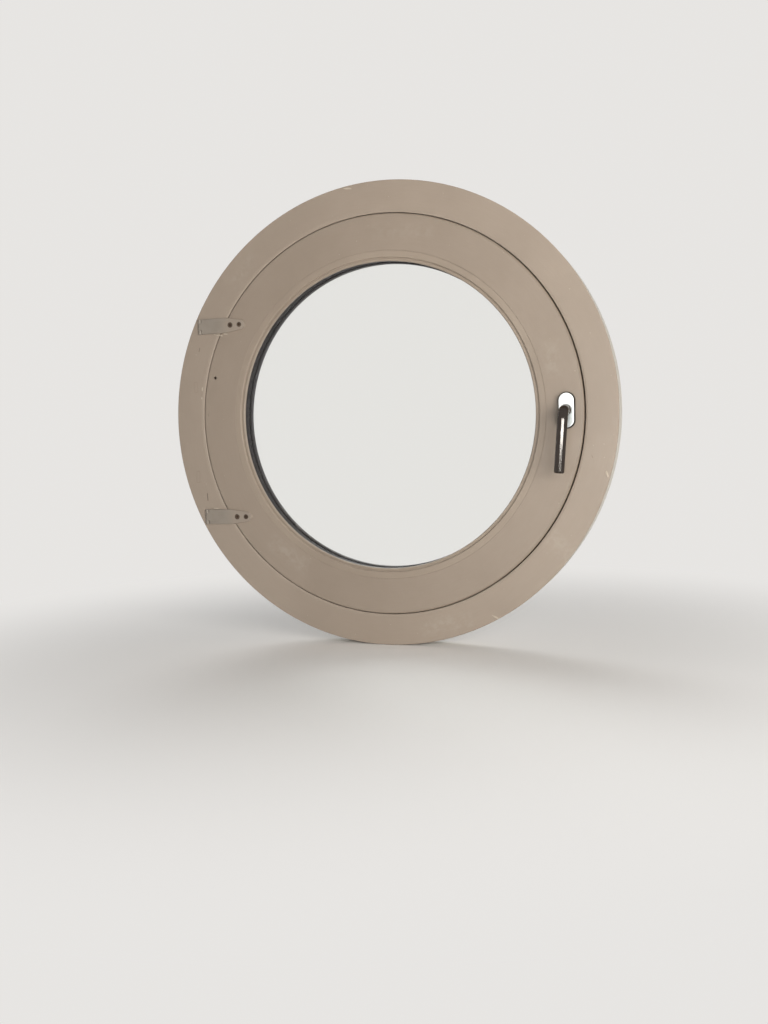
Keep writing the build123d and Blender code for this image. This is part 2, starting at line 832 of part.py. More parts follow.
# Square spindle from the lever's neck to the back of the pinion
with BuildPart() as handle_spindle:
    spindle_back = lock_depth + case_width / 2 - case_side_gap
    with BuildSketch(handle_plane(-spindle_back)):
        Rectangle(spindle_width, spindle_width)
    extrude(amount=spindle_back + spindle_reach)
    spindle_ends = handle_spindle.faces().filter_by(Axis.Y)
    chamfer(spindle_ends.edges(), length=spindle_chamfer)
save(handle_spindle, "handle_spindle")

with BuildPart() as handle_grub_screw:
    with BuildSketch(grub_plane.offset(spindle_width / 2)):
        Circle(grub_screw_radius)
    extrude(amount=grub_screw_length)
    with BuildSketch(grub_plane.offset(spindle_width / 2 + grub_screw_length)):
        RegularPolygon(grub_socket_radius, 6)
    extrude(amount=-grub_socket_depth, mode=Mode.SUBTRACT)
save(handle_grub_screw, "handle_grub_screw")


def involute(angle):
    return tan(angle) - angle


def flank_point(radius, side):
    """Point of an involute flank, for a tooth that points down."""
    at_pitch = pi / (2 * pinion_teeth) - backlash / (2 * pitch_radius)
    pressure = acos(min(1.0, base_radius / radius))
    half_angle = at_pitch + involute(pressure_angle) - involute(pressure)
    return (side * radius * sin(half_angle), -radius * cos(half_angle))


# Pinion: involute teeth on a hub that turns in the lock case
flank_step = (tip_radius - base_radius) / flank_steps
flank_radii = [base_radius + flank_step * step for step in range(flank_steps + 1)]
pinion_back = lock_depth + pinion_width / 2
hub_back = lock_depth + hub_length / 2
with BuildPart() as lock_pinion:
    with BuildSketch(handle_plane(-pinion_back)):
        Circle(root_radius)
        with PolarLocations(0, pinion_teeth):
            with BuildSketch(mode=Mode.PRIVATE) as tooth:
                with BuildLine():
                    right_flank = Spline([flank_point(radius, 1) for radius in flank_radii])
                    left_flank = Spline([flank_point(radius, -1) for radius in flank_radii])
                    Line(right_flank @ 1, left_flank @ 1)
                    Line(right_flank @ 0, (0, 0))
                    Line(left_flank @ 0, (0, 0))
                make_face()
            add(tooth.sketch)
    extrude(amount=pinion_width)
    with BuildSketch(handle_plane(-hub_back)):
        Circle(hub_radius)
    extrude(amount=hub_length)
    with BuildSketch(handle_plane(-hub_back)):
        Rectangle(spindle_width + 2 * square_clearance, spindle_width + 2 * square_clearance)
    extrude(amount=hub_length, mode=Mode.SUBTRACT)
save(lock_pinion, "lock_pinion")

# Bolt: a bar with a short rack under the pinion, pushed out to the right
with BuildPart() as lock_bolt:
    bar_length = bolt_nose - bolt_tail
    with BuildSketch(Plane.XZ.offset(-(lock_y + pinion_width / 2))):
        with Locations(((bolt_nose + bolt_tail) / 2, bolt_middle)):
            Rectangle(bar_length, bolt_height)
        for number in range(rack_teeth):
            tooth_x = handle_x + bolt_shift + (number - 0.5) * circular_pitch
            with BuildLine():
                Polyline(
                    (tooth_x - rack_half_root, bolt_top),
                    (tooth_x - rack_half_tip, -(pitch_radius - tooth_addendum)),
                    (tooth_x + rack_half_tip, -(pitch_radius - tooth_addendum)),
                    (tooth_x + rack_half_root, bolt_top),
                    close=True,
                )
            make_face()
    extrude(amount=pinion_width)
    nose = lock_bolt.faces().sort_by(Axis.X)[-1]
    chamfer(nose.edges(), length=bolt_nose_bevel)
save(lock_bolt, "lock_bolt")


def rivet_places():
    z = case_top - case_wall - rivet_inset
    return [(case_left + case_wall + rivet_inset, z), (case_front - case_wall - rivet_inset, z)]


# Lock case: an open tray with a bearing hole for the hub and a slot for the bolt
case_middle = ((case_left + case_front) / 2, (case_top + case_bottom) / 2)
with BuildPart() as lock_case:
    tray_back = Plane.XZ.offset(-(lock_y + case_width / 2))
    with BuildSketch(tray_back):
        with Locations(case_middle):
            Rectangle(case_front - case_left, case_top - case_bottom)
    extrude(amount=case_width - case_wall)
    with BuildSketch(tray_back.offset(case_wall)):
        with Locations(case_middle):
            Rectangle(case_front - case_left - 2 * case_wall, case_top - case_bottom - 2 * case_wall)
    extrude(amount=cavity_width, mode=Mode.SUBTRACT)
    with BuildSketch(tray_back):
        with Locations((handle_x, 0)):
            Circle(hub_radius + turning_clearance)
        with Locations(*rivet_places()):
            Circle(rivet_radius + turning_clearance)
    extrude(amount=case_wall, mode=Mode.SUBTRACT)
    with BuildSketch(Plane.YZ.offset(case_front)):
        with Locations((lock_y, bolt_middle)):
            Rectangle(pinion_width + 2 * case_side_gap, bolt_height + 2 * case_side_gap)
    extrude(amount=-case_wall, mode=Mode.SUBTRACT)
save(lock_case, "lock_case")

with BuildPart() as lock_cover:
    cover_back = Plane.XZ.offset(-(lock_y - cavity_width / 2))
    with BuildSketch(cover_back):
        with Locations(case_middle):
            Rectangle(case_front - case_left, case_top - case_bottom)
        with Locations((handle_x, 0)):
            Circle(hub_radius + turning_clearance, mode=Mode.SUBTRACT)
        with Locations(*rivet_places()):
            Circle(rivet_radius + turning_clearance, mode=Mode.SUBTRACT)
    extrude(amount=case_wall)
save(lock_cover, "lock_cover")

with BuildPart() as lock_rivets:
    for x, z in rivet_places():
        with BuildSketch(tray_back):
            with Locations((x, z)):
                Circle(rivet_radius)
        extrude(amount=case_width)
save(lock_rivets, "lock_rivets")

# Faceplate in the sash's edge, and strike plate in the rebate of the frame
with BuildPart() as lock_faceplate:
    with BuildSketch(Plane.YZ.offset(case_front)):
        with Locations((lock_y, 0)):
            SlotOverall(faceplate_height, faceplate_width, rotation=90)
        with Locations((lock_y, bolt_middle)):
            Rectangle(
                pinion_width + 2 * case_side_gap,
                bolt_height + 2 * case_side_gap,
                mode=Mode.SUBTRACT,
            )
    extrude(amount=faceplate_thickness)
    for seat in faceplate_screw_seats():
        cut_screw_seat(seat, plate_screw)
save(lock_faceplate, "lock_faceplate")

with BuildPart() as faceplate_screws:
    for seat in faceplate_screw_seats():
        add_screw(seat, plate_screw)
save(faceplate_screws, "faceplate_screws")

with BuildPart() as strike_plate:
    with BuildSketch(Plane.YZ.offset(strike_x)):
        with Locations((lock_y, 0)):
            RectangleRounded(strike_width, strike_height, strike_corner_round)
        with Locations((lock_y, bolt_middle)):
            Rectangle(
                pinion_width + 2 * strike_slot_gap,
                bolt_height + 2 * strike_slot_gap,
                mode=Mode.SUBTRACT,
            )
    extrude(amount=strike_thickness)
    for seat in strike_screw_seats():
        cut_screw_seat(seat, plate_screw)
save(strike_plate, "strike_plate")

with BuildPart() as strike_screws:
    for seat in strike_screw_seats():
        add_screw(seat, plate_screw)
save(strike_screws, "strike_screws")
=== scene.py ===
import random
from math import asin, atan2, cos, hypot, pi, radians, sin, sqrt

import bmesh
import bpy
from mathutils import Matrix, Quaternion, Vector, noise


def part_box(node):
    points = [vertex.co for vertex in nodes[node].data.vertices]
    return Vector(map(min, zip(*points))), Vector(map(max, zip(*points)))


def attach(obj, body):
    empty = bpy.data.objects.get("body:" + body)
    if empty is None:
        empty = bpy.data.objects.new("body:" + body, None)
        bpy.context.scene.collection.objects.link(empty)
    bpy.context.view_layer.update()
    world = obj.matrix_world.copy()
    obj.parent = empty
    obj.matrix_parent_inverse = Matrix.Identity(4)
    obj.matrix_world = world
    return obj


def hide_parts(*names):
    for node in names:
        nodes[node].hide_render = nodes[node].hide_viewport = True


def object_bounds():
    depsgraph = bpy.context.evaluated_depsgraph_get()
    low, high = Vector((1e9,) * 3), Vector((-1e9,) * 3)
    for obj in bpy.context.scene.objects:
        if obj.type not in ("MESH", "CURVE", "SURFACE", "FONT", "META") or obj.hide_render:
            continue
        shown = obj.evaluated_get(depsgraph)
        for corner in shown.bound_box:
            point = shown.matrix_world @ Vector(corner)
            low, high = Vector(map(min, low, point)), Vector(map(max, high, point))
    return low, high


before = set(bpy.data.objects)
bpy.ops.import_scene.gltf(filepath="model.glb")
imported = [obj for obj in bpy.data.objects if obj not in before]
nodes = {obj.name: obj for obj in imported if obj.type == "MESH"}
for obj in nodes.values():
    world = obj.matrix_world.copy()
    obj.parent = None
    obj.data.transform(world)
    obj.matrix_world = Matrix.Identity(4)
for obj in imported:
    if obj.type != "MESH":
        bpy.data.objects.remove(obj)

cadLow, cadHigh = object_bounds()
scene = bpy.context.scene
print("stage 1: the frame is loaded,", len(nodes), "nodes")


# Small helpers for shader trees

def plug(tree, socket, value):
    if isinstance(value, bpy.types.NodeSocket):
        tree.links.new(value, socket)
    elif socket.type == "RGBA":
        socket.default_value = (*value, 1.0)
    else:
        socket.default_value = value


def addNode(tree, kind, settings=None, inputs=None):
    node = tree.nodes.new(kind)
    for name, value in (settings or {}).items():
        setattr(node, name, value)
    for name, value in (inputs or {}).items():
        plug(tree, node.inputs[name], value)
    return node


def addMath(tree, operation, *values, clamp=False):
    settings = {"operation": operation, "use_clamp": clamp}
    return addNode(tree, "ShaderNodeMath", settings, dict(enumerate(values))).outputs[0]


def addProduct(tree, first, second):
    return addMath(tree, "MULTIPLY", first, second)


def addSum(tree, first, second):
    return addMath(tree, "ADD", first, second)


def addGap(tree, first, second):
    return addMath(tree, "SUBTRACT", first, second)


def addReach(tree, first, second):
    # How far a point is from the origin of two flat coordinates
    squares = [addProduct(tree, part, part) for part in (first, second)]
    return addMath(tree, "SQRT", addSum(tree, *squares))


def addRange(tree, value, low, high, toLow=0.0, toHigh=1.0):
    inputs = {"Value": value, "From Min": low, "From Max": high, "To Min": toLow, "To Max": toHigh}
    settings = {"interpolation_type": "SMOOTHSTEP", "clamp": True}
    return addNode(tree, "ShaderNodeMapRange", settings, inputs).outputs["Result"]


def addMix(tree, factor, first, second):
    settings = {"data_type": "RGBA", "blend_type": "MIX"}
    return addNode(tree, "ShaderNodeMix", settings, {0: factor, 6: first, 7: second}).outputs[2]


def addNoise(tree, vector, scale, detail=3.0, roughness=0.55):
    inputs = {"Vector": vector, "Scale": scale, "Detail": detail, "Roughness": roughness}
    return addNode(tree, "ShaderNodeTexNoise", inputs=inputs).outputs["Fac"]


def addPlace(tree):
    return addNode(tree, "ShaderNodeTexCoord").outputs["Object"]


def addVectorMath(tree, operation, *values):
    return addNode(tree, "ShaderNodeVectorMath", {"operation": operation}, dict(enumerate(values))).outputs


def splitVector(tree, vector):
    return addNode(tree, "ShaderNodeSeparateXYZ", inputs={0: vector}).outputs


def addSurface(tree, factor, first, second, target):
    blend = addNode(tree, "ShaderNodeMixShader", inputs={0: factor})
    for socket, shader in ((blend.inputs[1], first), (blend.inputs[2], second)):
        tree.links.new(shader.outputs[0], socket)
    tree.links.new(blend.outputs[0], tree.nodes[target].inputs["Surface"])


def newGroup(name, inputs, outputs):
    group = bpy.data.node_groups.new(name, "ShaderNodeTree")
    for label, kind, value in inputs:
        socket = group.interface.new_socket(label, in_out="INPUT", socket_type="NodeSocket" + kind)
        if value is not None:
            socket.default_value = value
    for label, kind in outputs:
        group.interface.new_socket(label, in_out="OUTPUT", socket_type="NodeSocket" + kind)
    return group, group.nodes.new("NodeGroupInput").outputs, group.nodes.new("NodeGroupOutput").inputs


def placeGroup(tree, group, inputs=None):
    return addNode(tree, "ShaderNodeGroup", {"node_tree": group}, inputs).outputs


# Effects that several finishes share

def makeRingCoords():
    # Coordinates that run round the window's axis, so that brush marks follow the ring
    tree, take, give = newGroup(
        "aroundTheRing", [("Across", "Float", 900.0), ("Along", "Float", 14.0)], [("Vector", "Vector")]
    )
    x, y, z = splitVector(tree, addPlace(tree))
    radius = addReach(tree, x, z)
    rim = addMath(tree, "MAXIMUM", radius, 0.01)
    across = addProduct(tree, addSum(tree, radius, y), take["Across"])
    along = [addProduct(tree, addMath(tree, "DIVIDE", part, rim), take["Along"]) for part in (x, z)]
    joined = addNode(tree, "ShaderNodeCombineXYZ", inputs=dict(enumerate((across, *along))))
    tree.links.new(joined.outputs[0], give["Vector"])
    return tree


def makeMottle():
    # Soft clouds of a second colour, as in paint that has yellowed and been wiped
    tree, take, give = newGroup(
        "mottle",
        [
            ("Color", "Color", None), ("Second Color", "Color", None),
            ("Scale", "Float", 6.0), ("Amount", "Float", 0.5),
        ],
        [("Color", "Color"), ("Mask", "Float")],
    )
    broad = addNoise(tree, addPlace(tree), take["Scale"], 4.0, 0.6)
    mask = addProduct(tree, addRange(tree, broad, 0.38, 0.68), take["Amount"])
    tree.links.new(mask, give["Mask"])
    tree.links.new(addMix(tree, mask, take["Color"], take["Second Color"]), give["Color"])
    return tree


def makeEdgeWear():
    # Worn or bright outer edges, found by rounding the normal
    tree, take, give = newGroup(
        "edgeWear",
        [("Width", "Float", 0.0012), ("Breakup", "Float", 120.0), ("Amount", "Float", 1.0)],
        [("Mask", "Float")],
    )
    rounded = addNode(tree, "ShaderNodeBevel", {"samples": 4}, {"Radius": take["Width"]})
    normal = addNode(tree, "ShaderNodeNewGeometry").outputs["Normal"]
    turned = addVectorMath(tree, "DOT_PRODUCT", rounded.outputs[0], normal)
    edge = addRange(tree, turned["Value"], 0.995, 0.9)
    broken = addRange(tree, addNoise(tree, addPlace(tree), take["Breakup"], 4.0, 0.6), 0.42, 0.62)
    tree.links.new(addProduct(tree, addProduct(tree, edge, broken), take["Amount"]), give["Mask"])
    return tree


def makeSeamDirtAndShade():
    # Dirt and painted shade where two surfaces meet: an occlusion mask darkens seams, corners and crevices
    tree, take, give = newGroup(
        "seamDirtAndShade", [("Reach", "Float", 0.006), ("Amount", "Float", 0.6)], [("Mask", "Float")]
    )
    shade = addNode(tree, "ShaderNodeAmbientOcclusion", {"samples": 6}, {"Distance": take["Reach"]})
    patchy = addRange(tree, addNoise(tree, addPlace(tree), 45.0, 3.0), 0.3, 0.7, 0.45, 1.0)
    dirtAndShade = addProduct(tree, addRange(tree, shade.outputs["AO"], 0.85, 0.25), patchy)
    tree.links.new(addProduct(tree, dirtAndShade, take["Amount"]), give["Mask"])
    return tree


def makeSettledDust():
    # Fine building dust on what faces up
    tree, take, give = newGroup(
        "settledDust", [("Amount", "Float", 0.5), ("Scale", "Float", 60.0)], [("Mask", "Float")]
    )
    normal = splitVector(tree, addNode(tree, "ShaderNodeNewGeometry").outputs["Normal"])
    patchy = addRange(tree, addNoise(tree, addPlace(tree), take["Scale"], 5.0, 0.65), 0.35, 0.75)
    up = addRange(tree, normal[2], 0.35, 0.9)
    tree.links.new(addProduct(tree, addProduct(tree, up, patchy), take["Amount"]), give["Mask"])
    return tree


def makeSpecks():
    # Small specks: flecks of plaster or tiny dark marks
    tree, take, give = newGroup(
        "specks",
        [("Scale", "Float", 90.0), ("Size", "Float", 0.12), ("Share", "Float", 0.2)],
        [("Mask", "Float")],
    )
    place = addPlace(tree)
    cells = addNode(tree, "ShaderNodeTexVoronoi", inputs={"Vector": place, "Scale": take["Scale"]})
    parts = addNode(tree, "ShaderNodeSeparateColor", inputs={0: cells.outputs["Color"]})
    chosen = addMath(tree, "LESS_THAN", parts.outputs[0], take["Share"])
    size = addProduct(tree, take["Size"], addRange(tree, parts.outputs[1], 0.0, 1.0, 0.35, 1.0))
    ragged = addProduct(tree, addNoise(tree, place, 700.0, 2.0), 0.06)
    near = addMath(tree, "LESS_THAN", addSum(tree, cells.outputs["Distance"], ragged), size)
    tree.links.new(addProduct(tree, near, chosen), give["Mask"])
    return tree


def makeFaceMark():
    # One soft-edged box on the inside face, at a place and a turn: a slit, a filled slot or a rub mark
    tree, take, give = newGroup(
        "faceMark",
        [
            ("Place", "Vector", (0.0, 0.0, 0.0)), ("Turn", "Float", 0.0), ("Edge", "Float", 0.0004),
            ("Half Width", "Float", 0.001), ("Half Height", "Float", 0.005), ("Wander", "Float", 0.0006),
        ],
        [("Mask", "Float"), ("Rim", "Float")],
    )
    place = addPlace(tree)
    moved = addVectorMath(tree, "SUBTRACT", place, take["Place"])[0]
    inputs = {"Vector": moved, "Angle": take["Turn"]}
    turned = addNode(tree, "ShaderNodeVectorRotate", {"rotation_type": "Y_AXIS"}, inputs)
    x, y, z = splitVector(tree, turned.outputs[0])
    drift = addGap(tree, addNoise(tree, place, 260.0, 3.0), 0.5)
    sway = addProduct(tree, drift, take["Wander"])
    over = [
        addGap(tree, addMath(tree, "ABSOLUTE", addSum(tree, part, sway)), take[half])
        for part, half in ((x, "Half Width"), (z, "Half Height"))
    ]
    outside = addMath(tree, "MAXIMUM", *over)
    inner = addProduct(tree, take["Edge"], -1.0)
    onFace = addMath(tree, "LESS_THAN", addMath(tree, "ABSOLUTE", y), 0.006)
    mask = addRange(tree, outside, take["Edge"], inner)
    tree.links.new(addProduct(tree, mask, onFace), give["Mask"])
    band = addRange(tree, addMath(tree, "ABSOLUTE", outside), take["Edge"], 0.0)
    tree.links.new(addProduct(tree, band, onFace), give["Rim"])
    return tree


def makeMetalGrain():
    # Fine lines of a drawn, ground or brushed metal
    tree, take, give = newGroup(
        "metalGrain",
        [
            ("Stretch", "Vector", (1.0, 1.0, 1.0)), ("Scale", "Float", 900.0),
            ("Low", "Float", 0.2), ("High", "Float", 0.4),
        ],
        [("Height", "Float"), ("Roughness", "Float")],
    )
    place = addPlace(tree)
    stretched = addVectorMath(tree, "MULTIPLY", place, take["Stretch"])[0]
    fine = addNoise(tree, stretched, take["Scale"], 3.0, 0.6)
    smear = addNoise(tree, place, 40.0, 3.0, 0.6)
    tree.links.new(fine, give["Height"])
    both = addSum(tree, addProduct(tree, fine, 0.4), addProduct(tree, smear, 0.6))
    tree.links.new(addRange(tree, both, 0.3, 0.7, take["Low"], take["High"]), give["Roughness"])
    return tree


ringCoords = makeRingCoords()
mottle = makeMottle()
edgeWear = makeEdgeWear()
seamDirtAndShade = makeSeamDirtAndShade()
settledDust = makeSettledDust()
specks = makeSpecks()
faceMark = makeFaceMark()
metalGrain = makeMetalGrain()


def placeMottle(tree, look, scale, amount):
    colors = {"Color": look["color"], "Second Color": look["second"]}
    return placeGroup(tree, mottle, {**colors, "Scale": scale, "Amount": amount})


def newMaterial(name):
    material = bpy.data.materials.new(name)
    material.use_nodes = True
    tree = material.node_tree
    return material, tree, tree.nodes["Principled BSDF"]


def addBump(tree, shader, height, strength, distance):
    inputs = {"Strength": strength, "Distance": distance, "Height": height}
    bump = addNode(tree, "ShaderNodeBump", inputs=inputs)
    tree.links.new(bump.outputs[0], shader.inputs["Normal"])


# Cream paint on timber. Colours are linear.

creamPaint = {
    "color": (0.310, 0.252, 0.201),
    "second": (0.278, 0.224, 0.176),
    # This dark colour serves real dirt, rain runs and specks, and also the painted shade in seams, on the
    # sash edge and round the handle's plate
    "dirtAndShade": (0.17, 0.132, 0.095),
    "dust": (0.53, 0.485, 0.41),
    "primer": (0.50, 0.47, 0.41),
    "slit": (0.085, 0.060, 0.042),
    "mottleScale": 5.0,
    "mottle": 0.8,
    "brushDepth": 0.00022,
    "roughness": (0.36, 0.54),
    "seamShadeReach": 0.003,
    "seamShadeAmount": 0.16,
    "dustAmount": 0.40,
    "markShare": 0.05,
    "fleckShare": 0.06,
    "edgeShade": None,
    "plateShade": None,
    "sightShade": None,
    "slits": [],
    "slots": [],
    "rubs": [],
}

beadTone = {"color": (0.328, 0.268, 0.212), "seamShadeAmount": 0.2}
# The seam bead's paint: cream paint with strong painted shade in its seams
seamShadeTone = {"seamShadeAmount": 0.85, "seamShadeReach": 0.002}
rimRadius = 0.4492
frameTone = {
    "color": (0.337, 0.276, 0.222), "second": (0.303, 0.246, 0.196), "mottleScale": 4.2, "fleckShare": 0.10,
}

# Marks on the inside face: place in X and Z, half sizes, turn in degrees
faceY = -0.029
frameMarks = {
    "slits": [
        {"at": (-0.3938, 0.1490), "half": (0.0006, 0.0042), "turn": -14.0, "amount": 0.75},
        {"at": (-0.3882, -0.1542), "half": (0.0008, 0.0078), "turn": 4.0, "amount": 0.9},
        {"at": (0.4010, -0.0860), "half": (0.0004, 0.0030), "turn": 20.0, "amount": 0.5},
    ],
    "slots": [
        {"at": (-0.4051, 0.0727), "half": (0.0036, 0.0105), "turn": 2.0, "amount": 0.30},
        {"at": (-0.4078, -0.1123), "half": (0.0036, 0.0115), "turn": -2.0, "amount": 0.38},
    ],
    "rubs": [
        {"at": (0.3400, -0.2500), "half": (0.030, 0.012), "turn": -50.0, "amount": 0.16},
        {"at": (-0.2900, 0.3000), "half": (0.040, 0.010), "turn": 45.0, "amount": 0.12},
        {"at": (0.1200, -0.4050), "half": (0.050, 0.012), "turn": 12.0, "amount": 0.18},
    ],
}
sashMarks = {
    # Painted shade: these three entries darken the sash's rounded edge, the lip outside the glass and a line
    # round the handle's plate
    "edgeShade": {"from": 0.3828, "to": 0.3878, "amount": 0.72},
    "sightShade": {"from": 0.3006, "to": 0.2990, "behind": 0.0, "color": (0.024, 0.018, 0.020)},
    "plateShade": {"x": 0.356, "halfStraight": 0.018, "radius": 0.0155, "spread": 0.0015, "amount": 0.75},
    "slits": [
        {"at": (-0.3792, 0.0150), "half": (0.0005, 0.0030), "turn": 2.0, "amount": 0.5},
        {"at": (-0.3595, 0.0900), "half": (0.0029, 0.0032), "turn": 30.0, "amount": 0.85},
    ],
    "slots": [],
    "rubs": [
        {"at": (0.3300, 0.0950), "half": (0.014, 0.030), "turn": 8.0, "amount": 0.12},
        {"at": (-0.2100, -0.2700), "half": (0.045, 0.014), "turn": -35.0, "amount": 0.15},
        {"at": (0.0500, 0.3500), "half": (0.060, 0.012), "turn": -6.0, "amount": 0.08},
    ],
}


def placeMark(tree, mark, edge, wander):
    x, z = mark["at"]
    wide, tall = mark["half"]
    box = {"Place": (x, faceY, z), "Half Width": wide, "Half Height": tall, "Turn": radians(mark["turn"])}
    return placeGroup(tree, faceMark, {**box, "Edge": edge, "Wander": wander})


def makeCreamPaint(name, look):
    material, tree, shader = newMaterial(name)
    place = addPlace(tree)
    x, y, z = splitVector(tree, place)
    cloud = placeMottle(tree, look, look["mottleScale"], look["mottle"])
    ring = placeGroup(tree, ringCoords, {"Across": 700.0, "Along": 11.0})
    brush = addNoise(tree, ring["Vector"], 1.0, 4.0, 0.6)
    color = addMix(tree, addRange(tree, brush, 0.35, 0.7, 0.0, 0.25), cloud["Color"], look["second"])

    # The outer rim goes into the wall and has primer only, up to a ragged line
    radius = addReach(tree, x, z)
    ragged = addProduct(tree, addNoise(tree, place, 30.0, 4.0, 0.6), 0.012)
    behind = addRange(tree, addSum(tree, y, ragged), -0.0160, -0.0145)
    hidden = addProduct(tree, behind, addMath(tree, "GREATER_THAN", radius, rimRadius))
    color = addMix(tree, hidden, color, look["primer"])

    # Rain and soot have run down the weather side
    runs = addNoise(tree, addVectorMath(tree, "MULTIPLY", place, (60.0, 60.0, 5.0))[0], 1.0, 4.0, 0.6)
    outdoors = addRange(tree, y, 0.012, 0.022)
    rained = addProduct(tree, addRange(tree, runs, 0.45, 0.75, 0.0, 0.5), outdoors)
    color = addMix(tree, rained, color, look["dirtAndShade"])

    rubs = None
    for mark in look["rubs"]:
        cloudy = addProduct(tree, placeMark(tree, mark, 0.012, 0.02)["Mask"], mark["amount"])
        rubs = cloudy if rubs is None else addMath(tree, "MAXIMUM", rubs, cloudy)
    if rubs is not None:
        streaky = addProduct(tree, rubs, addRange(tree, addNoise(tree, place, 90.0, 4.0), 0.35, 0.65))
        color = addMix(tree, streaky, color, look["dust"])

    if look["edgeShade"]:
        # Painted shade on the rounded edge of the sash next to the gap, strongest at the handle's side
        shadeLook = look["edgeShade"]
        reach = addRange(tree, radius, shadeLook["from"], shadeLook["to"], 0.0, shadeLook["amount"])
        towardsHandle = addRange(tree, x, -0.20, 0.36, 0.15, 1.0)
        color = addMix(tree, addProduct(tree, reach, towardsHandle), color, look["dirtAndShade"])
    if look["sightShade"]:
        # Near black on the lip outside the glass: partly dark sealant, partly painted shade of the dark band
        # round the sight edge
        shadeLook = look["sightShade"]
        wiped = addRange(tree, radius, shadeLook["from"], shadeLook["to"])
        outside = addMath(tree, "GREATER_THAN", y, shadeLook["behind"])
        color = addMix(tree, addProduct(tree, wiped, outside), color, shadeLook["color"])
    if look["plateShade"]:
        # Painted shade: a dark line round the foot of the handle's plate, on the front only
        shadeLook = look["plateShade"]
        side = addGap(tree, x, shadeLook["x"])
        past = addMath(tree, "MAXIMUM", addGap(tree, addMath(tree, "ABSOLUTE", z), shadeLook["halfStraight"]), 0)
        reach = addGap(tree, addReach(tree, side, past), shadeLook["radius"])
        line = addRange(tree, reach, shadeLook["spread"], 0.0002, 0.0, shadeLook["amount"])
        line = addProduct(tree, line, addMath(tree, "LESS_THAN", y, 0.0))
        color = addMix(tree, line, color, look["dirtAndShade"])
    # Painted shade with dirt: the occlusion mask darkens the paint in seams and crevices
    seamDirtShade = placeGroup(tree, seamDirtAndShade, {"Reach": look["seamShadeReach"], "Amount": look["seamShadeAmount"]})
    color = addMix(tree, seamDirtShade["Mask"], color, look["dirtAndShade"])
    dust = placeGroup(tree, settledDust, {"Amount": look["dustAmount"]})
    color = addMix(tree, dust["Mask"], color, look["dust"])
    marks = placeGroup(tree, specks, {"Scale": 55.0, "Size": 0.05, "Share": look["markShare"]})
    color = addMix(tree, addProduct(tree, marks["Mask"], 0.5), color, look["dirtAndShade"])
    flecks = placeGroup(tree, specks, {"Scale": 130.0, "Size": 0.09, "Share": look["fleckShare"]})
    color = addMix(tree, addProduct(tree, flecks["Mask"], 0.6), color, look["dust"])

    ripple = addNoise(tree, place, 26.0, 3.0, 0.5)
    height = addSum(tree, addProduct(tree, brush, 0.6), addProduct(tree, ripple, 1.6))
    height = addSum(tree, height, addProduct(tree, flecks["Mask"], 0.8))
    for mark in look["slots"]:
        line = placeMark(tree, mark, 0.0005, 0.0010)["Rim"]
        color = addMix(tree, addProduct(tree, line, mark["amount"]), color, look["slit"])
        height = addGap(tree, height, addProduct(tree, line, 0.6))
    for mark in look["slits"]:
        crack = placeMark(tree, mark, 0.0004, 0.0012)["Mask"]
        color = addMix(tree, addProduct(tree, crack, mark["amount"]), color, look["slit"])
        height = addGap(tree, height, addProduct(tree, crack, 2.0))
    tree.links.new(color, shader.inputs["Base Color"])

    low, high = look["roughness"]
    wiped = addRange(tree, brush, 0.3, 0.7, low, high)
    rough = addMath(tree, "ADD", wiped, addProduct(tree, dust["Mask"], 0.35), clamp=True)
    tree.links.new(rough, shader.inputs["Roughness"])
    addBump(tree, shader, height, 0.5, look["brushDepth"])
    return material


# Grey-cream paint on the strap hinges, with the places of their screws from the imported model

screwHead = 0.0042
screwLow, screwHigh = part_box("hinge_strap_screws")
strapScrewX = (screwLow[0] + screwHead, screwHigh[0] - screwHead)
strapLow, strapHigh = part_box("upper_hinge_strap")
hingeHeight = (strapLow[2] + strapHigh[2]) / 2
strapPaint = {
    "color": (0.273, 0.238, 0.200),
    "second": (0.242, 0.208, 0.172),
    "tip": (0.300, 0.252, 0.206),
    # Painted shade: this dark colour fills the strap's seams
    "dirtAndShade": (0.13, 0.102, 0.075),
    "bare": (0.45, 0.41, 0.36),
    "chip": (0.085, 0.056, 0.040),
    "chipRadii": (0.0056, 0.0051),
    "roughness": (0.42, 0.6),
    "tipFrom": -0.345,
    "tipTo": -0.318,
}


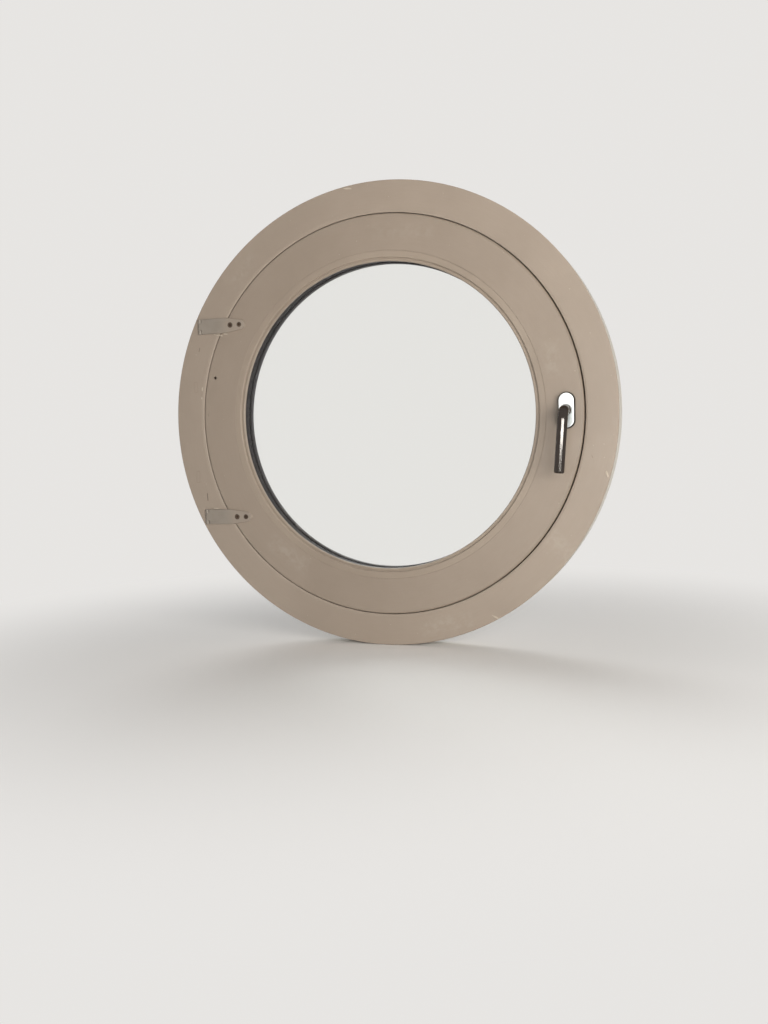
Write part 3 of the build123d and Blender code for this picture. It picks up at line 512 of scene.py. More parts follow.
def makeStrapPaint(name, look):
    material, tree, shader = newMaterial(name)
    place = addPlace(tree)
    x, y, z = splitVector(tree, place)
    cloud = placeMottle(tree, look, 38.0, 0.8)
    wander = addProduct(tree, addNoise(tree, place, 70.0, 3.0), 0.012)
    tip = addRange(tree, addSum(tree, x, wander), look["tipFrom"], look["tipTo"])
    color = addMix(tree, tip, cloud["Color"], look["tip"])
    # Painted shade with dirt: the occlusion mask darkens the seams round the strap
    seamDirtShade = placeGroup(tree, seamDirtAndShade, {"Reach": 0.002, "Amount": 0.4})
    color = addMix(tree, seamDirtShade["Mask"], color, look["dirtAndShade"])
    wear = placeGroup(tree, edgeWear, {"Width": 0.0009, "Breakup": 160.0, "Amount": 0.6})
    color = addMix(tree, wear["Mask"], color, look["bare"])
    # Paint has chipped off round the screws
    ragged = addProduct(tree, addGap(tree, addNoise(tree, place, 420.0, 3.0), 0.5), 0.0022)
    height = addGap(tree, addMath(tree, "ABSOLUTE", z), hingeHeight)
    for screwX, chipRadius in zip(strapScrewX, look["chipRadii"]):
        reach = addSum(tree, addReach(tree, addGap(tree, x, screwX), height), ragged)
        chip = addRange(tree, reach, chipRadius + 0.0003, chipRadius - 0.0003)
        color = addMix(tree, chip, color, look["chip"])
    flecks = placeGroup(tree, specks, {"Scale": 260.0, "Size": 0.12, "Share": 0.10})
    color = addMix(tree, addProduct(tree, flecks["Mask"], 0.5), color, look["bare"])
    tree.links.new(color, shader.inputs["Base Color"])
    low, high = look["roughness"]
    brush = addNoise(tree, addVectorMath(tree, "MULTIPLY", place, (40.0, 400.0, 600.0))[0], 1.0, 3.0)
    tree.links.new(addRange(tree, brush, 0.3, 0.7, low, high), shader.inputs["Roughness"])
    drips = addNoise(tree, place, 90.0, 3.0)
    addBump(tree, shader, addSum(tree, brush, addProduct(tree, drips, 2.0)), 0.6, 0.00016)
    return material


# Filler and plaster left on the paint

fillerLook = {"color": (0.50, 0.43, 0.35), "second": (0.42, 0.355, 0.285), "scale": 220.0}


def makeFiller(name, look):
    material, tree, shader = newMaterial(name)
    place = addPlace(tree)
    cloud = placeMottle(tree, look, look["scale"], 0.9)
    tree.links.new(cloud["Color"], shader.inputs["Base Color"])
    grit = addNoise(tree, place, 900.0, 4.0, 0.65)
    tree.links.new(addRange(tree, grit, 0.3, 0.7, 0.7, 0.92), shader.inputs["Roughness"])
    addBump(tree, shader, grit, 0.8, 0.00012)
    return material


# Metals

# In each metal the dark colour is painted shade in its seams, and on the rosette also its painted dark rim
metalLooks = {
    # Painted reflection: the lever's steel is given a near-black colour, standing in for a dark room
    # mirrored in it
    "leverSteelDarkReflection": {
        "color": (0.072, 0.060, 0.053), "second": (0.060, 0.050, 0.045), "low": 0.11, "high": 0.15,
        "stretch": (1.0, 1.0, 0.3), "scale": 160.0, "depth": 0.000001, "dirtAndShade": (0.03, 0.024, 0.02),
        "seamShadeAmount": 0.4, "reflectionRimFrom": None,
    },
    # Painted reflection: the rosette's rounded shoulder and sides are darkened from the facing set by its
    # rim value
    "rosetteSteel": {
        "color": (0.82, 0.80, 0.765), "second": (0.74, 0.72, 0.685), "low": 0.34, "high": 0.42,
        "stretch": (1.0, 1.0, 0.05), "scale": 1300.0, "depth": 0.00001, "dirtAndShade": (0.05, 0.038, 0.03),
        "seamShadeAmount": 0.6, "reflectionRimFrom": 0.997,
    },
    "zincSteel": {
        "color": (0.60, 0.59, 0.55), "second": (0.47, 0.47, 0.46), "low": 0.30, "high": 0.48,
        "stretch": (1.0, 0.3, 0.15), "scale": 700.0, "depth": 0.00003, "dirtAndShade": (0.14, 0.11, 0.08),
        "seamShadeAmount": 0.7, "reflectionRimFrom": None,
    },
    "lockSteel": {
        "color": (0.50, 0.49, 0.47), "second": (0.40, 0.39, 0.37), "low": 0.30, "high": 0.5,
        "stretch": (0.1, 1.0, 1.0), "scale": 600.0, "depth": 0.00003, "dirtAndShade": (0.09, 0.07, 0.05),
        "seamShadeAmount": 0.8, "reflectionRimFrom": None,
    },
    "darkScrew": {
        "color": (0.095, 0.066, 0.050), "second": (0.170, 0.120, 0.088), "low": 0.42, "high": 0.7,
        "stretch": (1.0, 1.0, 1.0), "scale": 900.0, "depth": 0.00005, "dirtAndShade": (0.03, 0.022, 0.018),
        "seamShadeAmount": 0.6, "reflectionRimFrom": None,
    },
}


def makeMetal(name, look):
    material, tree, shader = newMaterial(name)
    cloud = placeMottle(tree, look, 70.0, 0.8)
    inputs = {name.title(): look[name] for name in ("stretch", "scale", "low", "high")}
    grain = placeGroup(tree, metalGrain, inputs)
    # Painted shade with dirt: the occlusion mask darkens the metal in its seams
    seamDirtShade = placeGroup(tree, seamDirtAndShade, {"Reach": 0.003, "Amount": look["seamShadeAmount"]})
    color = addMix(tree, seamDirtShade["Mask"], cloud["Color"], look["dirtAndShade"])
    if look["reflectionRimFrom"]:
        # Painted reflection: the rounded shoulder and the sides are darkened by the way they face, as if
        # mirroring a dark room; the flat front keeps the bright metal
        normal = splitVector(tree, addNode(tree, "ShaderNodeNewGeometry").outputs["Normal"])
        facing = addMath(tree, "ABSOLUTE", normal[1])
        rimJitter = addProduct(tree, addNoise(tree, addPlace(tree), 300.0, 3.0), 0.03)
        paintedDarkRim = addRange(tree, addGap(tree, facing, rimJitter), look["reflectionRimFrom"] - 0.03, 0.90)
        color = addMix(tree, paintedDarkRim, color, look["dirtAndShade"])
    tree.links.new(color, shader.inputs["Base Color"])
    shader.inputs["Metallic"].default_value = 1.0
    rough = addMath(tree, "ADD", grain["Roughness"], addProduct(tree, seamDirtShade["Mask"], 0.3), clamp=True)
    tree.links.new(rough, shader.inputs["Roughness"])
    addBump(tree, shader, grain["Height"], 0.5, look["depth"])
    return material


# Rubber, plastic and packers

softLooks = {
    "sealRubber": {
        "color": (0.020, 0.015, 0.016), "second": (0.032, 0.026, 0.026), "scale": 60.0,
        "low": 0.5, "high": 0.72, "depth": 0.00006,
    },
    "spacerBlack": {
        "color": (0.014, 0.011, 0.012), "second": (0.022, 0.018, 0.019), "scale": 90.0,
        "low": 0.42, "high": 0.6, "depth": 0.00004,
    },
    "baseNylon": {
        "color": (0.10, 0.10, 0.10), "second": (0.13, 0.13, 0.125), "scale": 80.0,
        "low": 0.4, "high": 0.55, "depth": 0.00005,
    },
    "packerGreen": {
        "color": (0.10, 0.16, 0.09), "second": (0.13, 0.20, 0.12), "scale": 50.0,
        "low": 0.35, "high": 0.5, "depth": 0.00005,
    },
}


softDust = {"color": (0.26, 0.235, 0.20), "amount": 0.18, "scale": 120.0}


def makeSoft(name, look):
    material, tree, shader = newMaterial(name)
    cloud = placeMottle(tree, look, look["scale"], 0.9)
    dust = placeGroup(tree, settledDust, {"Amount": softDust["amount"], "Scale": softDust["scale"]})
    color = addMix(tree, dust["Mask"], cloud["Color"], softDust["color"])
    tree.links.new(color, shader.inputs["Base Color"])
    place = addPlace(tree)
    skin = addNoise(tree, place, 1400.0, 2.0)
    flow = addNoise(tree, place, 120.0, 3.0)
    tree.links.new(addRange(tree, flow, 0.3, 0.7, look["low"], look["high"]), shader.inputs["Roughness"])
    shader.inputs["Specular IOR Level"].default_value = 0.25
    addBump(tree, shader, addSum(tree, skin, flow), 0.5, look["depth"])
    return material


glassLook = {"tint": (0.985, 0.99, 0.985), "shadow": (0.95, 0.96, 0.955), "index": 1.22, "smear": 0.012}


def makeGlass(name, look):
    material, tree, shader = newMaterial(name)
    shader.inputs["Base Color"].default_value = (*look["tint"], 1)
    shader.inputs["Transmission Weight"].default_value = 1.0
    shader.inputs["IOR"].default_value = look["index"]
    place = addPlace(tree)
    haze = addNoise(tree, place, 7.0, 5.0, 0.65)
    tree.links.new(addRange(tree, haze, 0.45, 0.8, 0.0, look["smear"]), shader.inputs["Roughness"])
    addBump(tree, shader, addNoise(tree, place, 3.0, 1.0), 0.15, 0.0002)
    # Light passes the pane, so that it throws no dark shadow
    clear = addNode(tree, "ShaderNodeBsdfTransparent", inputs={"Color": look["shadow"]})
    shadowRay = addNode(tree, "ShaderNodeLightPath").outputs["Is Shadow Ray"]
    addSurface(tree, shadowRay, shader, clear, "Material Output")
    return material


materials = {
    "framePaint": makeCreamPaint("framePaint", {**creamPaint, **frameMarks, **frameTone}),
    "sashPaint": makeCreamPaint("sashPaint", {**creamPaint, **sashMarks}),
    "seamShadePaint": makeCreamPaint("seamShadePaint", {**creamPaint, **seamShadeTone}),
    "beadPaint": makeCreamPaint("beadPaint", {**creamPaint, **beadTone}),
    "strapPaint": makeStrapPaint("strapPaint", strapPaint),
    "filler": makeFiller("filler", fillerLook),
    "clearGlass": makeGlass("clearGlass", glassLook),
}
for finish, look in metalLooks.items():
    materials[finish] = makeMetal(finish, look)
for finish, look in softLooks.items():
    materials[finish] = makeSoft(finish, look)

finishOf = {
    "framePaint": ["outer_frame"],
    "sashPaint": ["sash"],
    "beadPaint": ["glazing_bead"],
    "strapPaint": [
        "upper_hinge_strap", "lower_hinge_strap", "upper_hinge_leaf", "lower_hinge_leaf",
        "upper_hinge_pin", "lower_hinge_pin",
    ],
    "darkScrew": ["hinge_strap_screws", "hinge_leaf_screws", "bead_pins", "handle_grub_screw"],
    "leverSteelDarkReflection": ["handle_lever"],
    "rosetteSteel": ["rosette_cover"],
    "zincSteel": ["strike_plate", "strike_screws", "lock_faceplate", "faceplate_screws", "rosette_screws"],
    "lockSteel": [
        "lock_case", "lock_cover", "lock_rivets", "lock_pinion", "lock_bolt",
        "handle_spindle", "handle_circlip",
    ],
    "sealRubber": ["frame_seal", "inner_glazing_seal", "outer_glazing_tape", "edge_sealant"],
    "spacerBlack": ["spacer_bar"],
    "baseNylon": ["rosette_base"],
    "packerGreen": ["setting_blocks"],
    "clearGlass": ["inner_pane", "outer_pane"],
}
for finish, names in finishOf.items():
    for name in names:
        mesh = nodes[name].data
        mesh.materials.clear()
        mesh.materials.append(materials[finish])
print("stage 2: finishes are made,", len(materials))


# Pieces made in mesh code

def finishPiece(work, name, body, finish):
    bmesh.ops.recalc_face_normals(work, faces=work.faces)
    mesh = bpy.data.meshes.new(name)
    work.to_mesh(mesh)
    work.free()
    mesh.polygons.foreach_set("use_smooth", [True] * len(mesh.polygons))
    mesh.materials.append(materials[finish])
    piece = bpy.data.objects.new(name, mesh)
    scene.collection.objects.link(piece)
    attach(piece, body)
    return piece


def bridgeRings(work, first, second):
    count = len(first)
    for i in range(count):
        work.faces.new((first[i], first[(i + 1) % count], second[(i + 1) % count], second[i]))


# Countersunk wood screws with a cross recess and a rolled thread

screwLook = {"around": 48, "crown": 0.035, "armWidth": 0.15, "armLength": 0.62, "recessDepth": 0.42}
screwHeadRings = (0.06, 0.13, 0.2, 0.27, 0.35, 0.43, 0.51, 0.59, 0.67, 0.76, 0.86, 0.94)
screwSets = [
    {"name": "strapWoodScrews", "node": "hinge_strap_screws", "body": "sash", "slot": "dark_screw",
     "finish": "darkScrew", "head": 0.0042, "shank": 0.0021, "pitch": 0.0018, "kind": "strap"},
    {"name": "leafWoodScrews", "node": "hinge_leaf_screws", "body": "frame", "slot": "dark_screw",
     "finish": "darkScrew", "head": 0.0040, "shank": 0.0020, "pitch": 0.0018, "kind": "leaf"},
    {"name": "rosetteWoodScrews", "node": "rosette_screws", "body": "sash", "slot": "zinc_steel",
     "finish": "zincSteel", "head": 0.0044, "shank": 0.0022, "pitch": 0.0018, "kind": "rosette"},
    {"name": "faceplateWoodScrews", "node": "faceplate_screws", "body": "sash", "slot": "zinc_steel",
     "finish": "zincSteel", "head": 0.0032, "shank": 0.0016, "pitch": 0.0013, "kind": "faceplate"},
    {"name": "strikeWoodScrews", "node": "strike_screws", "body": "frame", "slot": "zinc_steel",
     "finish": "zincSteel", "head": 0.0032, "shank": 0.0016, "pitch": 0.0013, "kind": "strike"},
]
leafScrewStagger = 0.007


def screwSeats(kind, low, high, head):
    # Where each head's middle sits and which way its point goes, from the node's own box
    farX, farZ = high.x - head, high.z - head
    nearX, nearZ = low.x + head, low.z + head
    middleX, middleY = (low.x + high.x) / 2, (low.y + high.y) / 2
    inward = Vector((0, 1, 0))
    if kind == "strap":
        return [(Vector((x, low.y, z)), inward) for x in (nearX, farX) for z in (nearZ, farZ)]
    if kind == "leaf":
        step = 2 * leafScrewStagger
        places = ((nearX, farZ), (nearX, nearZ + step), (farX, farZ - step), (farX, nearZ))
        return [(Vector((x, low.y, z)), inward) for x, z in places]
    if kind == "rosette":
        return [(Vector((middleX, low.y, z)), inward) for z in (nearZ, farZ)]
    seatX, side = (high.x, -1) if kind == "faceplate" else (low.x, 1)
    return [(Vector((seatX, middleY, z)), Vector((side, 0, 0))) for z in (nearZ, farZ)]


def recessAt(u, v):
    # Share of the recess depth at a place on the head, in head radii
    reach = max(abs(u), abs(v))
    across = min(abs(u), abs(v))
    width = screwLook["armWidth"] * (1.15 - 0.6 * reach)
    if across >= width or reach >= screwLook["armLength"]:
        return 0.0
    wall = min(1.0, (width - across) / (0.45 * width))
    end = min(1.0, (screwLook["armLength"] - reach) / 0.16)
    return wall * end


def addScrew(work, seat, inward, look, length, spin):
    head, shank, pitch = look["head"], look["shank"], look["pitch"]
    side = inward.orthogonal().normalized()
    other = inward.cross(side)
    around = screwLook["around"]
    deep = head * screwLook["recessDepth"]

    def place(radius, turn, depth):
        return seat + side * (radius * cos(turn)) + other * (radius * sin(turn)) + inward * depth

    rings = []
    for share in screwHeadRings:
        ring = []
        for i in range(around):
            turn = 2 * pi * i / around
            crown = head * screwLook["crown"] * (1 - share ** 2)
            sunk = deep * recessAt(share * cos(turn - spin), share * sin(turn - spin))
            ring.append(work.verts.new(place(share * head, turn, sunk - crown * 0.2)))
        rings.append(ring)
    coneDepth = head - shank
    profile = [(head * 0.985, head * 0.015), (head, head * 0.05), (head * 0.97, head * 0.10)]
    profile += [(head - coneDepth * t, head * 0.10 + coneDepth * 0.95 * t) for t in (0.35, 0.7, 1.0)]
    for radius, depth in profile:
        rings.append([work.verts.new(place(radius, 2 * pi * i / around, depth)) for i in range(around)])
    start = profile[-1][1]
    threadStart = length * 0.42
    steps = int((length - start) / pitch * 7)
    for step in range(1, steps):
        depth = start + (length - start) * step / steps
        taper = min(1.0, (length - depth) / (2.6 * shank))
        ring = []
        for i in range(around):
            turn = 2 * pi * i / around
            core = shank * 0.97
            if depth > threadStart:
                phase = (depth / pitch - turn / (2 * pi)) % 1.0
                ridge = max(0.0, 1 - abs(phase - 0.5) * 4.2)
                rise = min(1.0, (depth - threadStart) / pitch)
                core = shank * (0.97 - 0.24 * rise + 0.24 * rise * ridge)
            ring.append(work.verts.new(place(core * taper, turn, depth)))
        rings.append(ring)
    for first, second in zip(rings, rings[1:]):
        bridgeRings(work, first, second)
    middle = work.verts.new(place(0, 0, deep))
    point = work.verts.new(place(0, 0, length))
    for i in range(around):
        work.faces.new((middle, rings[0][i], rings[0][(i + 1) % around]))
        work.faces.new((point, rings[-1][(i + 1) % around], rings[-1][i]))


def makeScrews():
    spins = random.Random(11)
    for look in screwSets:
        low, high = (Vector(corner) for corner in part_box(look["node"]))
        work = bmesh.new()
        for seat, inward in screwSeats(look["kind"], low, high, look["head"]):
            length = (high - low).dot(Vector([abs(part) for part in inward]))
            addScrew(work, seat, inward, look, length, spins.uniform(0, pi / 2))
        piece = finishPiece(work, look["name"], look["body"], look["finish"])
        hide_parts(look["node"])


# The lever with more rings along its straight part, so that light runs along it evenly

leverRings = {"from": 0.0160, "to": 0.1105, "step": 0.0015, "lean": 4.6, "sharp": 32.0}


def makeLever():
    source = nodes["handle_lever"]
    work = bmesh.new()
    work.from_mesh(source.data)
    work.transform(source.matrix_world)
    bmesh.ops.remove_doubles(work, verts=work.verts, dist=0.0000005)
    rosetteLow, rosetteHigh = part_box("rosette_cover")
    top = Vector(((rosetteLow[0] + rosetteHigh[0]) / 2, faceY, 0.0))
    lean = radians(leverRings["lean"])
    down = Vector((-sin(lean), 0.0, -cos(lean)))
    reach = leverRings["from"]
    while reach < leverRings["to"]:
        parts = work.verts[:] + work.edges[:] + work.faces[:]
        bmesh.ops.bisect_plane(work, geom=parts, plane_co=top + down * reach, plane_no=down)
        reach += leverRings["step"]
    for edge in work.edges:
        if len(edge.link_faces) == 2:
            edge.smooth = edge.calc_face_angle() < radians(leverRings["sharp"])
    piece = finishPiece(work, "leverBar", "handle", "leverSteelDarkReflection")
    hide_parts("handle_lever")


# The bead of paint where the strap meets the sash

strapEdge = {
    "halfWidth": 0.015, "tipRadius": 0.0095, "tipInset": 0.037, "startInset": 0.004,
    "spread": 0.0013, "rise": 0.0008, "step": 0.0007,
}


def strapOutline(jointX, height):
    half, tip, inset = strapEdge["halfWidth"], strapEdge["tipRadius"], strapEdge["tipInset"]
    span = hypot(inset, half)
    tilt = asin(tip / span) - atan2(half, inset)
    run = sqrt(span ** 2 - tip ** 2)
    touchTurn = pi / 2 + tilt
    points = []
    length = strapEdge["startInset"]
    while length < run:
        points.append((jointX + length * cos(tilt), half + length * sin(tilt), touchTurn))
        length += strapEdge["step"]
    turn = touchTurn
    while turn > -touchTurn:
        points.append((jointX + inset + tip * cos(turn), tip * sin(turn), turn))
        turn -= strapEdge["step"] / tip
    length = run
    while length > strapEdge["startInset"]:
        points.append((jointX + length * cos(tilt), -half - length * sin(tilt), -touchTurn))
        length -= strapEdge["step"]
    return [(x, height + z, turn) for x, z, turn in points]


def makeStrapBeads():
    jointX = strapScrewX[0] - 0.015
    for name in ("upper", "lower"):
        low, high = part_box(name + "_hinge_strap")
        height = (low[2] + high[2]) / 2
        work = bmesh.new()
        sections = []
        for x, z, turn in strapOutline(jointX, height):
            sway = noise.noise(Vector((x * 260, height * 9, z * 260)))
            spread = strapEdge["spread"] * (1 + 0.75 * sway)
            rise = strapEdge["rise"] * (1 + 0.55 * sway)
            out = Vector((cos(turn), 0, sin(turn)))
            foot = Vector((x, faceY, z))
            section = []
            for t in (0.0, 0.22, 0.45, 0.7, 1.0):
                bulge = 0.62 * sin(pi * t / 2) ** 1.5
                point = foot + out * (spread * (1 - t) + 0.00002) - Vector((0, rise * (t * 0.4 + bulge), 0))
                section.append(work.verts.new(point))
            section.append(work.verts.new(foot - out * 0.0002 - Vector((0, rise * 0.9, 0))))
            section.append(work.verts.new(foot - out * 0.0002 + Vector((0, 0.00015, 0))))
            section.append(work.verts.new(foot + out * spread + Vector((0, 0.00015, 0))))
            sections.append(section)
        for first, second in zip(sections, sections[1:]):
            bridgeRings(work, first, second)
        work.faces.new(sections[0])
        work.faces.new(reversed(sections[-1]))
        finishPiece(work, name + "StrapPaintBead", "sash", "seamShadePaint")


# Old paint that has built up on the frame's inner edge and narrows the gap round the sash

paintLip = {
    "sashRadius": 0.3880, "wallRadius": 0.3920, "clear": 0.00085, "left": 0.0006, "right": 0.0022,
    "uneven": 0.00012, "around": 1080,
}
paintLipSection = (
    (0.0027, 0.00003), (0.0012, 0.00022), (0.0002, 0.00034), (None, 0.0005), (None, 0.0009), (None, 0.0018),
    (None, 0.0050), (None, 0.0080), (-0.0001, 0.0100), (0.0004, 0.0080), (0.0008, 0.0030),
)
paintLipTuck = (0.0, 0.0, 0.0, 0.0008, 0.0002, 0.0, 0.0001, 0.0006, 0.0, 0.0, 0.0)


def makePaintLip():
    work = bmesh.new()
    sections = []
    around = paintLip["around"]
    for i in range(around):
        turn = 2 * pi * i / around
        sway = noise.noise(Vector((cos(turn) * 9, sin(turn) * 9, 0.0)))
        sway += 0.5 * noise.noise(Vector((cos(turn) * 40, sin(turn) * 40, 3.0)))
        end = paintLip["right"] if cos(turn) > 0 else paintLip["left"]
        clear = paintLip["clear"] + (end - paintLip["clear"]) * cos(turn) ** 2 + paintLip["uneven"] * sway
        edge = paintLip["sashRadius"] + clear
        section = []
        for (offset, depth), tuck in zip(paintLipSection, paintLipTuck):
            radius = edge + tuck if offset is None else paintLip["wallRadius"] + offset
            section.append(work.verts.new((radius * cos(turn), faceY + depth, radius * sin(turn))))
        sections.append(section)
    for first, second in zip(sections, sections[1:] + sections[:1]):
        bridgeRings(work, first, second)
    finishPiece(work, "rebatePaintLip", "frame", "framePaint")


# Smears of filler at the joint between frame and sash, and fine splashes of plaster

smears = [
    {"at": (-0.3480, 0.1765), "half": (0.0120, 0.0014), "rise": 0.0008, "turn": 12.0, "body": "frame"},
    {"at": (-0.3330, 0.1782), "half": (0.0050, 0.0010), "rise": 0.0006, "turn": 8.0, "body": "sash"},
    {"at": (-0.3905, 0.0687), "half": (0.0013, 0.0042), "rise": 0.0005, "turn": 8.0, "body": "frame"},
    {"at": (-0.3928, 0.0503), "half": (0.0012, 0.0030), "rise": 0.0005, "turn": -6.0, "body": "frame"},
    {"at": (-0.3690, -0.1780), "half": (0.0085, 0.0013), "rise": 0.0006, "turn": 3.0, "body": "frame"},
    {"at": (0.4270, -0.1180), "half": (0.0022, 0.0060), "rise": 0.0006, "turn": -16.0, "body": "frame"},
    {"at": (0.2150, -0.3880), "half": (0.0080, 0.0016), "rise": 0.0005, "turn": 28.0, "body": "frame"},
    {"at": (-0.0600, 0.4410), "half": (0.0090, 0.0018), "rise": 0.0006, "turn": 8.0, "body": "frame"},
]
splashLook = {
    "count": {"frame": 170, "sash": 90}, "from": {"frame": 0.3975, "sash": 0.3225},
    "to": {"frame": 0.4440, "sash": 0.3820}, "smallest": 0.00025, "largest": 0.0011,
    "strapX": -0.27, "strapZ": (0.17, 0.22), "handleX": (0.322, 0.382), "handleZ": (-0.14, 0.05),
    "holeAt": (-0.3595, 0.09), "holeRoom": 0.006,
}


def addLump(work, at, half, rise, turn, seed, around=40, layers=6):
    top = work.verts.new((at[0], faceY - rise, at[1]))
    rings = []
    for layer in range(1, layers + 1):
        share = layer / layers
        ring = []
        for i in range(around):
            angle = 2 * pi * i / around
            edge = 1 + 0.34 * noise.noise(Vector((cos(angle) * 1.7 + seed, sin(angle) * 1.7, seed * 0.7)))
            u = half[0] * share * edge * cos(angle)
            v = half[1] * share * edge * sin(angle)
            bumpy = 1 + 0.5 * noise.noise(Vector((u * 900, seed, v * 900)))
            lift = rise * (1 - share ** 2.4) * bumpy if layer < layers else -0.00008
            x = at[0] + u * cos(turn) + v * sin(turn)
            z = at[1] - u * sin(turn) + v * cos(turn)
            ring.append(work.verts.new((x, faceY - lift, z)))
        rings.append(ring)
    for i in range(around):
        work.faces.new((top, rings[0][i], rings[0][(i + 1) % around]))
    for first, second in zip(rings, rings[1:]):
        bridgeRings(work, first, second)
    work.faces.new(rings[-1])


def makeSmears():
    for body, name in (("frame", "frameFillerSmears"), ("sash", "sashFillerSmears")):
        work = bmesh.new()
        for number, look in enumerate(smears):
            if look["body"] == body:
                addLump(work, look["at"], look["half"], look["rise"], radians(look["turn"]), 3.1 * number)
        finishPiece(work, name, body, "filler")


def between(value, ends):
    return ends[0] < value < ends[1]


def splashFits(x, z):
    # No splashes on the straps, under the handle or in the vent hole
    look = splashLook
    nearStrap = x < look["strapX"] and between(abs(z), look["strapZ"])
    nearHandle = between(x, look["handleX"]) and between(z, look["handleZ"])
    nearHole = hypot(x - look["holeAt"][0], z - look["holeAt"][1]) < look["holeRoom"]
    return not (nearStrap or nearHandle or nearHole)


def makeSplashes():
    draws = random.Random(29)
    growth = splashLook["largest"] / splashLook["smallest"]
    for body, name in (("frame", "framePlasterSplashes"), ("sash", "sashPlasterSplashes")):
        work = bmesh.new()
        placed = 0
        while placed < splashLook["count"][body]:
            turn = draws.uniform(0, 2 * pi)
            radius = draws.uniform(splashLook["from"][body], splashLook["to"][body])
            size = splashLook["smallest"] * growth ** (draws.random() ** 2.2)
            at = (radius * cos(turn), radius * sin(turn))
            if not splashFits(*at):
                continue
            stretch = draws.uniform(0.6, 1.0)
            rise = size * draws.uniform(0.25, 0.5)
            addLump(work, at, (size, size * stretch), rise, draws.uniform(0, pi), placed * 1.7, 10, 3)
            placed += 1
        finishPiece(work, name, body, "filler")


makeScrews()
makeLever()
makeStrapBeads()
makePaintLip()
makeSmears()
makeSplashes()
print("stage 3: pieces are made")


# Stage, light and camera

stageLook = {
    "pale": (0.80, 0.785, 0.765),
    "floor": (0.93, 0.915, 0.895),
    "floorReach": 30.0,
    "meltFrom": 0.35,
    "meltTo": 1.25,
    "fill": 0.20,
    "fillTint": (1.0, 0.98, 0.95),
}


def lightPathSeen(tree):
    path = addNode(tree, "ShaderNodeLightPath").outputs
    seen = addMath(tree, "MAXIMUM", path["Is Camera Ray"], path["Is Transmission Ray"])
    return addMath(tree, "MAXIMUM", seen, path["Is Glossy Ray"])


def makeFloor():
    mesh = bpy.data.meshes.new("studioFloor")
    work = bmesh.new()
    bmesh.ops.create_circle(work, cap_ends=True, segments=96, radius=stageLook["floorReach"])
    work.to_mesh(mesh)
    work.free()
    floor = bpy.data.objects.new("studioFloor", mesh)
    floor.location = (0, 0, cadLow.z)
    scene.collection.objects.link(floor)
    material, tree, shader = newMaterial("studioFloorPaper")
    shader.inputs["Base Color"].default_value = (*stageLook["floor"], 1)
    shader.inputs["Roughness"].default_value = 0.9
    shader.inputs["Specular IOR Level"].default_value = 0.1
    # Away from the window the floor melts into the pale background
    length = addVectorMath(tree, "LENGTH", addPlace(tree))["Value"]
    melt = addRange(tree, length, stageLook["meltFrom"], stageLook["meltTo"])
    pale = addNode(tree, "ShaderNodeEmission", inputs={"Color": stageLook["pale"], "Strength": 1.0})
    addSurface(tree, addProduct(tree, melt, lightPathSeen(tree)), shader, pale, "Material Output")
    mesh.materials.append(material)


def makeWorld():
    world = bpy.data.worlds.new("paleStudio")
    world.use_nodes = True
    scene.world = world
    tree = world.node_tree
    fill = tree.nodes["Background"]
    fill.inputs["Color"].default_value = (*stageLook["fillTint"], 1)
    fill.inputs["Strength"].default_value = stageLook["fill"]
    seen = addNode(tree, "ShaderNodeBackground", inputs={"Color": stageLook["pale"], "Strength": 1.0})
    addSurface(tree, lightPathSeen(tree), fill, seen, "World Output")


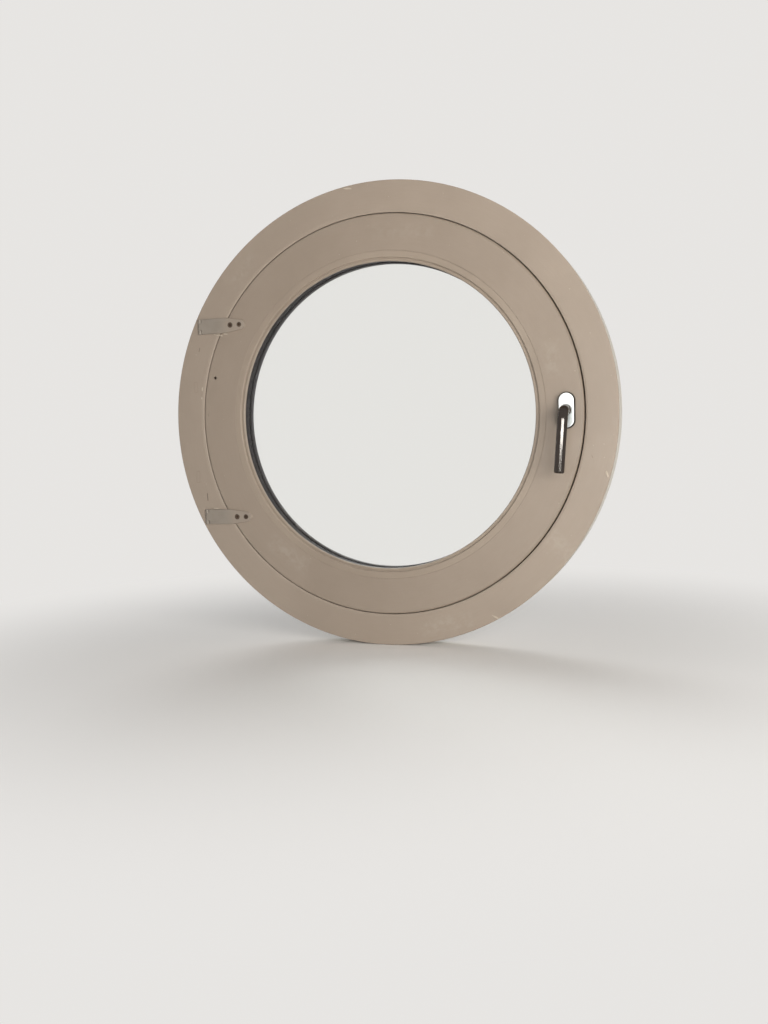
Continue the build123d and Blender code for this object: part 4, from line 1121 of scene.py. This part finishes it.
lamps = {
    "keySoftbox": {
        "at": (1.85, -1.95, 0.25), "aim": (0.0, 0.0, 0.0), "size": (2.2, 1.3), "power": 72.0,
        "tint": (1.0, 0.97, 0.93), "onPaint": True, "inGloss": False,
    },
    "frontSoftbox": {
        "at": (0.80, -2.60, 0.25), "aim": (0.0, 0.0, 0.0), "size": (0.9, 0.9), "power": 6.0,
        "tint": (1.0, 0.98, 0.95), "onPaint": True, "inGloss": False,
    },
    "rosetteSoftbox": {
        "at": (0.01, -2.50, 0.053), "aim": (0.35, 0.0, 0.0), "size": (0.20, 0.19), "power": 0.9,
        "tint": (1.0, 0.97, 0.94), "onPaint": False, "inGloss": True,
    },
    "leverSoftbox": {
        "at": (1.28, -2.50, -0.135), "aim": (0.35, 0.0, -0.05), "size": (2.60, 0.08), "roll": -4.6,
        "power": 34.0, "tint": (0.86, 0.97, 1.0), "onPaint": False, "inGloss": True,
    },
    "backSoftbox": {
        "at": (-1.4, 2.2, 1.3), "aim": (0.0, 0.0, 0.0), "size": (1.6, 1.6), "power": 38.0,
        "tint": (0.96, 0.98, 1.0), "onPaint": True, "inGloss": True,
    },
}


def makeLamps():
    for name, look in lamps.items():
        light = bpy.data.lights.new(name, "AREA")
        light.shape = "RECTANGLE"
        light.size, light.size_y = look["size"]
        light.energy = look["power"]
        light.color = look["tint"]
        lamp = bpy.data.objects.new(name, light)
        lamp.location = look["at"]
        away = Vector(look["at"]) - Vector(look["aim"])
        lamp.rotation_mode = "QUATERNION"
        turned = Quaternion((0, 0, 1), radians(look.get("roll", 0.0)))
        lamp.rotation_quaternion = away.to_track_quat("Z", "Y") @ turned
        lamp.visible_camera = False
        lamp.visible_transmission = False
        lamp.visible_diffuse = look["onPaint"]
        lamp.visible_glossy = look["inGloss"]
        scene.collection.objects.link(lamp)


# The photo's camera: its place, turns in degrees, and focal length and long side in pixels
view = {
    "at": (0.6216, -1.9081, -0.0400), "yaw": 18.39, "pitch": -4.23, "roll": 1.56,
    "focal": 1012.6, "longSide": 1024,
}


def makeCamera():
    data = bpy.data.cameras.new("photoView")
    data.sensor_width = 36.0
    data.lens = data.sensor_width * view["focal"] / view["longSide"]
    data.clip_start = 0.02
    data.clip_end = 60.0
    camera = bpy.data.objects.new("photoView", data)
    turn = (
        Matrix.Rotation(radians(view["yaw"]), 4, "Z")
        @ Matrix.Rotation(radians(view["pitch"]), 4, "X")
        @ Matrix.Rotation(radians(view["roll"]), 4, "Y")
        @ Matrix.Rotation(radians(90), 4, "X")
    )
    camera.matrix_world = Matrix.Translation(view["at"]) @ turn
    scene.collection.objects.link(camera)
    scene.camera = camera


makeFloor()
makeWorld()
makeLamps()
makeCamera()
scene.view_settings.view_transform = "Standard"
print("stage 4: floor, light and camera are set")
